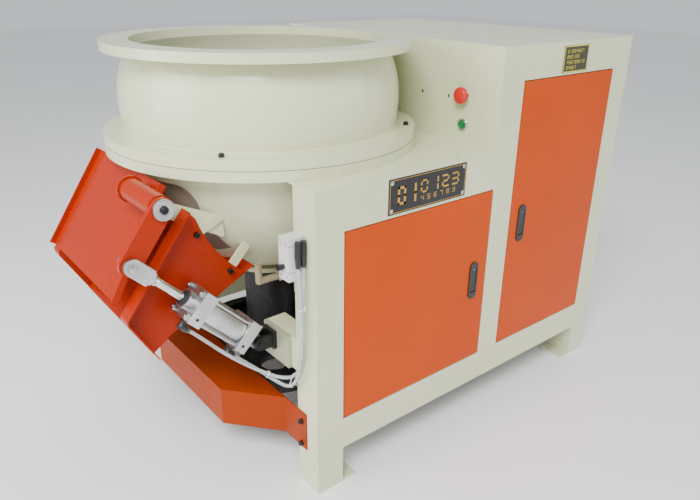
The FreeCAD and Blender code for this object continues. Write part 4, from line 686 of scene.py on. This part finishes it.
def make_cylinder_details():
    """Tie rods with nuts, seals, rear plate, screws, rod, lock nut and the pin with its clip."""
    rods = Build()
    for sy in CAP_SCREWS:
        for sz in CAP_SCREWS:
            rods.lathe(on_rod(0.072, sy, sz), ROD, [(0, 0.0040), (0.112, 0.0040)], 16)
            rods.prism(on_rod(0.218, sy, sz), ROD, 6, [(0, 0.0078), (0.0075, 0.0078), (0.0085, 0.0070)])
            rods.lathe(on_rod(0.226, sy, sz), ROD, [(0, 0.0042), (0.003, 0.0042), (0.0036, 0.0036)], 16)
    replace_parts(rods.finish("tie_rods_and_nuts", "steel", "cylinder"), "tie_rods")
    trim = Build()
    for x in (0.0712, 0.1836):
        trim.lathe(on_rod(x), ROD, [(0, 0.0352), (0.0012, 0.0352)], 48)
    trim.lathe(on_rod(0.2358), ROD, [(0, 0.0175), (0.0022, 0.0165), (0.0022, 0.0102)], 40)
    trim.finish("cylinder_seals", "black_rubber", "cylinder")
    back = Build()
    w = 0.0368
    ring = []
    for x in (0.0395, 0.0418):
        ring.append([on_rod(x, sy * w, sz * w) for sy, sz in ((-1, -1), (1, -1), (1, 1), (-1, 1))])
    back.loft(ring)
    back.finish("cylinder_rear_plate", "dark_metal", "cylinder", False)
    screws = Build()
    for sy in CAP_SCREWS:
        for sz in CAP_SCREWS:
            socket_screw(screws, on_rod(0.0398, sy, sz), -ROD, 0.0052, 0.0045)
    for x in PORTS:
        socket_screw(screws, on_rod(x, -0.0374, 0.022), -SIDE, 0.0036, 0.0012)
    screws.finish("cylinder_screws", "dark_metal", "cylinder")
    rod = Build()
    rod.lathe(on_rod(0.082), ROD, [(0, 0.0096), (0.0006, 0.0100), (0.2405, 0.0100)], 48)
    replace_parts(rod.finish("piston_bar", "chrome_rod", "rod"), "piston_rod")
    nut = Build()
    nut.prism(on_rod(0.3225), ROD, 6, [(0, 0.0145), (0.0012, 0.0158), (0.0107, 0.0158), (0.0119, 0.0145)])
    for k in range(4):
        nut.lathe(on_rod(0.3120 + k * 0.0024), ROD, [(0, 0.0101), (0.0008, 0.0108), (0.0016, 0.0101)], 32)
    nut.finish("fork_nut", "steel", "rod")
    pin = Build()
    centre = Vector((PIN.x, PIN.y, PIN.z))
    pin.lathe(centre - SIDE * 0.0215, SIDE, [
        (0, 0.0060), (0.0012, 0.0078), (0.0022, 0.0078), (0.0022, 0.0066), (0.0032, 0.0066),
        (0.0032, 0.0079), (0.0400, 0.0079), (0.0430, 0.0060),
    ], 32)
    pin.lathe(centre - SIDE * 0.0193, SIDE, [(0, 0.0105), (0.0010, 0.0105)], 28, 1, 0.0012)
    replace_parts(pin.finish("fork_pin_and_clip", "steel", "rod"), "fork_pin")


def make_elbows():
    """Push-in elbows in the two ports of the cylinder."""
    body, rings = Build(), Build()
    for x in PORTS:
        body.prism(on_rod(x, 0, 0.0376), DOWN, 6, [(0, 0.0088), (0.0050, 0.0088), (0.0058, 0.0082)])
        body.lathe(
            on_rod(x, 0, 0.0430), DOWN,
            [(0, 0.0068), (0.0150, 0.0068), (0.0178, 0.0058), (0.0185, 0.0)], 28,
        )
        body.lathe(
            on_rod(x + 0.006, 0, 0.0535), -ROD,
            [(0, 0.0), (0.0008, 0.0055), (0.003, 0.0078), (0.0230, 0.0078), (0.0240, 0.0070)], 28,
        )
        rings.lathe(
            on_rod(x - 0.0178, 0, 0.0535), -ROD,
            [(0, 0.0064), (0.0045, 0.0064), (0.0050, 0.0056), (0.0062, 0.0056), (0.0062, 0.0041)], 28,
        )
    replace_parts(body.finish("elbow_bodies", "black_plastic", "cylinder"), "cylinder_elbows")
    rings.finish("elbow_collars", "collar_grey", "cylinder")


def make_valve_details():
    """Fittings, joints and screws of the valve box."""
    grips = Build()
    for low, high in islands("air_fittings"):
        size = high - low
        centre = (low + high) / 2
        k = max(range(3), key=lambda i: size[i])
        axis = Vector((0, 0, 0))
        axis[k] = -1
        start = Vector(centre)
        start[k] = high[k]
        r = min(size) / 2
        length = size[k]
        if k == 2:
            grips.lathe(
                start, axis,
                [(0, r * 0.6), (0.002, r * 0.9), (length * 0.45, r), (length * 0.45, r * 0.8)], 32, 1,
                0.0007,
            )
            grips.prism(start + axis * length * 0.45, axis, 6, [(0, r * 1.0), (length * 0.2, r * 1.0)])
            grips.lathe(
                start + axis * length * 0.65, axis,
                [(0, r * 0.85), (length * 0.25, r * 0.85), (length * 0.35, r * 0.65)], 32,
            )
        else:
            grips.lathe(
                start, axis,
                [(0, r * 0.8), (length * 0.4, r * 0.8), (length * 0.4, r), (length, r * 0.95)], 24, 1,
                0.0006,
            )
    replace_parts(grips.finish("valve_fittings", "black_plastic", "machine"), "air_fittings")
    low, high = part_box("valve_box")
    lines = Build()
    for z in (low[2] + 0.020, high[2] - 0.016):
        lines.block(
            (low[0] - 0.0002, low[1] - 0.0002, z), (high[0] - 0.001, high[1] + 0.0002, z + 0.0008),
            0.0001,
        )
    lines.finish("valve_joints", "dark_metal", "machine", False)
    screws = Build()
    for z in (low[2] + 0.010, high[2] - 0.008):
        for y in (low[1] + 0.007, high[1] - 0.007):
            socket_screw(screws, (low[0], y, z), (-1, 0, 0), 0.0024, 0.0009)
    screws.finish("valve_screws", "steel", "machine")


def tie(name, first, second, ahead):
    """A cable tie round two tubes, with its block and cut tail."""
    a, b = Vector(first), Vector(second)
    ahead = Vector(ahead).normalized()
    across = (b - a).normalized()
    side = ahead.cross(across).normalized()
    r = 0.0050
    points = []
    for centre, base in ((b, -90), (a, 90)):
        for k in range(9):
            t = (base + k * 22.5) * DEG
            points.append(centre + (across * math.cos(t) + side * math.sin(t)) * r)
    band = Build()
    rings = []
    for p in points + points[:1]:
        out = (p - (a + b) / 2).normalized()
        rings.append(
            [p + ahead * s * 0.0018 + out * o * 0.0006 for s, o in ((-1, -1), (1, -1), (1, 1), (-1, 1))]
        )
    band.loft(rings, close=False)
    head = (a + b) / 2 + side * (r + 0.0015)
    corners = []
    for u in (-0.0026, 0.0026):
        corners.append(
            [
                head + across * u + ahead * v + side * w
                for v, w in ((-0.0026, -0.002), (0.0026, -0.002), (0.0026, 0.002), (-0.0026, 0.002))
            ]
        )
    band.loft(corners)
    tail = head + side * 0.001
    band.tube(
        [tail, tail + across * 0.006 + side * 0.001, tail + across * 0.011 + side * 0.004], 0.0008, 6,
    )
    band.finish(name, "tie_white", "machine", False)


def at(x, y, z):
    """A point measured from the cabinet's left front corner, in millimetres."""
    return Vector((LEFT + x / 1000, FRONT + y / 1000, z / 1000))


def make_ties():
    """The three cable ties on the air tubes."""
    tie("cable_tie_1", at(-9.5, 33.5, 500), at(-22, 25.5, 497), (0, 0, 1))
    tie("cable_tie_2", at(-10.5, 73, 304), at(-21.5, 70, 284), (0, -0.8, 0.6))
    tie("cable_tie_3", at(-48, 125, 296), at(-45, 137, 284), (0.8, -0.55, -0.4))


def make_drum_details():
    """Parting line between the two flanges, and the weld beads of drum and bowl."""
    line = Build()
    line.lathe(
        (AXIS, 0, SEAM - 0.0005), (0, 0, 1),
        [(0, 0.3825), (0, 0.3843), (0.0010, 0.3843), (0.0010, 0.3825)], 192,
    )
    line.finish("flange_parting_line", "gasket", "machine")
    for name, radius, z, size in (
        ("weld_barrel", 0.3355, 0.8068, 0.0032), ("weld_neck", 0.3145, 0.9880, 0.0034),
        ("weld_bowl", 0.3355, 0.7570, 0.0036),
    ):
        bead = Build()
        rings = []
        count = 240
        for i in range(count + 1):
            t = 2 * math.pi * (i % count) / count
            swell = 1 + 0.10 * math.sin((i % count) * math.pi / 2) + (0.05 if i % count % 7 == 0 else 0)
            ring = []
            for k in range(8):
                s = 2 * math.pi * k / 8
                r = radius + math.cos(s) * size * swell
                ring.append((AXIS + r * math.cos(t), r * math.sin(t), z + math.sin(s) * size * swell))
            rings.append(ring)
        bead.loft(rings, close=False)
        bead.finish(name, "body_paint", "machine")


def make_motor_fins():
    """Cooling fins and fan cowl of the motor."""
    low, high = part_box("motor")
    x, y = (low[0] + high[0]) / 2, (low[1] + high[1]) / 2
    fins = Build()
    for i in range(40):
        t = 2 * math.pi * i / 40
        out, side = Vector((math.cos(t), math.sin(t), 0)), Vector((-math.sin(t), math.cos(t), 0))
        rings = []
        for z in (low[2] + 0.035, high[2] - 0.055):
            base = Vector((x, y, z))
            rings.append(
                [
                    base + out * r + side * w
                    for r, w in ((0.084, -0.0012), (0.0985, -0.0006), (0.0985, 0.0006), (0.084, 0.0012))
                ]
            )
        fins.loft(rings)
    fins.finish("motor_fins", "motor_paint", "machine", False)
    cowl = Build()
    cowl.lathe(
        (x, y, high[2] - 0.05), (0, 0, 1),
        [(0, 0.0905), (0.001, 0.0985), (0.040, 0.0985), (0.0495, 0.088), (0.0498, 0.0)], 48,
    )
    cowl.finish("motor_cowl", "motor_paint", "machine")


def make_lever_screw():
    """Socket screw and rim on the gate shaft's end washer."""
    build = Build()
    low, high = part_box("gate_shaft")
    socket_screw(build, (HINGE.x, low[1], HINGE.z), (0, -1, 0), 0.0085, 0.0040)
    build.finish("lever_screw", "dark_metal", "gate")
    rim = Build()
    rim.lathe(
        (HINGE.x, low[1] + 0.0005, HINGE.z), (0, -1, 0),
        [(0, 0.0205), (0.0010, 0.0200), (0.0012, 0.0120), (0.0008, 0.0100)], 48,
    )
    rim.finish("washer_rim", "steel", "gate")


make_bolts()
make_plate_screws()
make_plates()
make_buttons()
lock_details()
make_cylinder_details()
make_elbows()
make_valve_details()
make_ties()
make_drum_details()
make_motor_fins()
make_lever_screw()
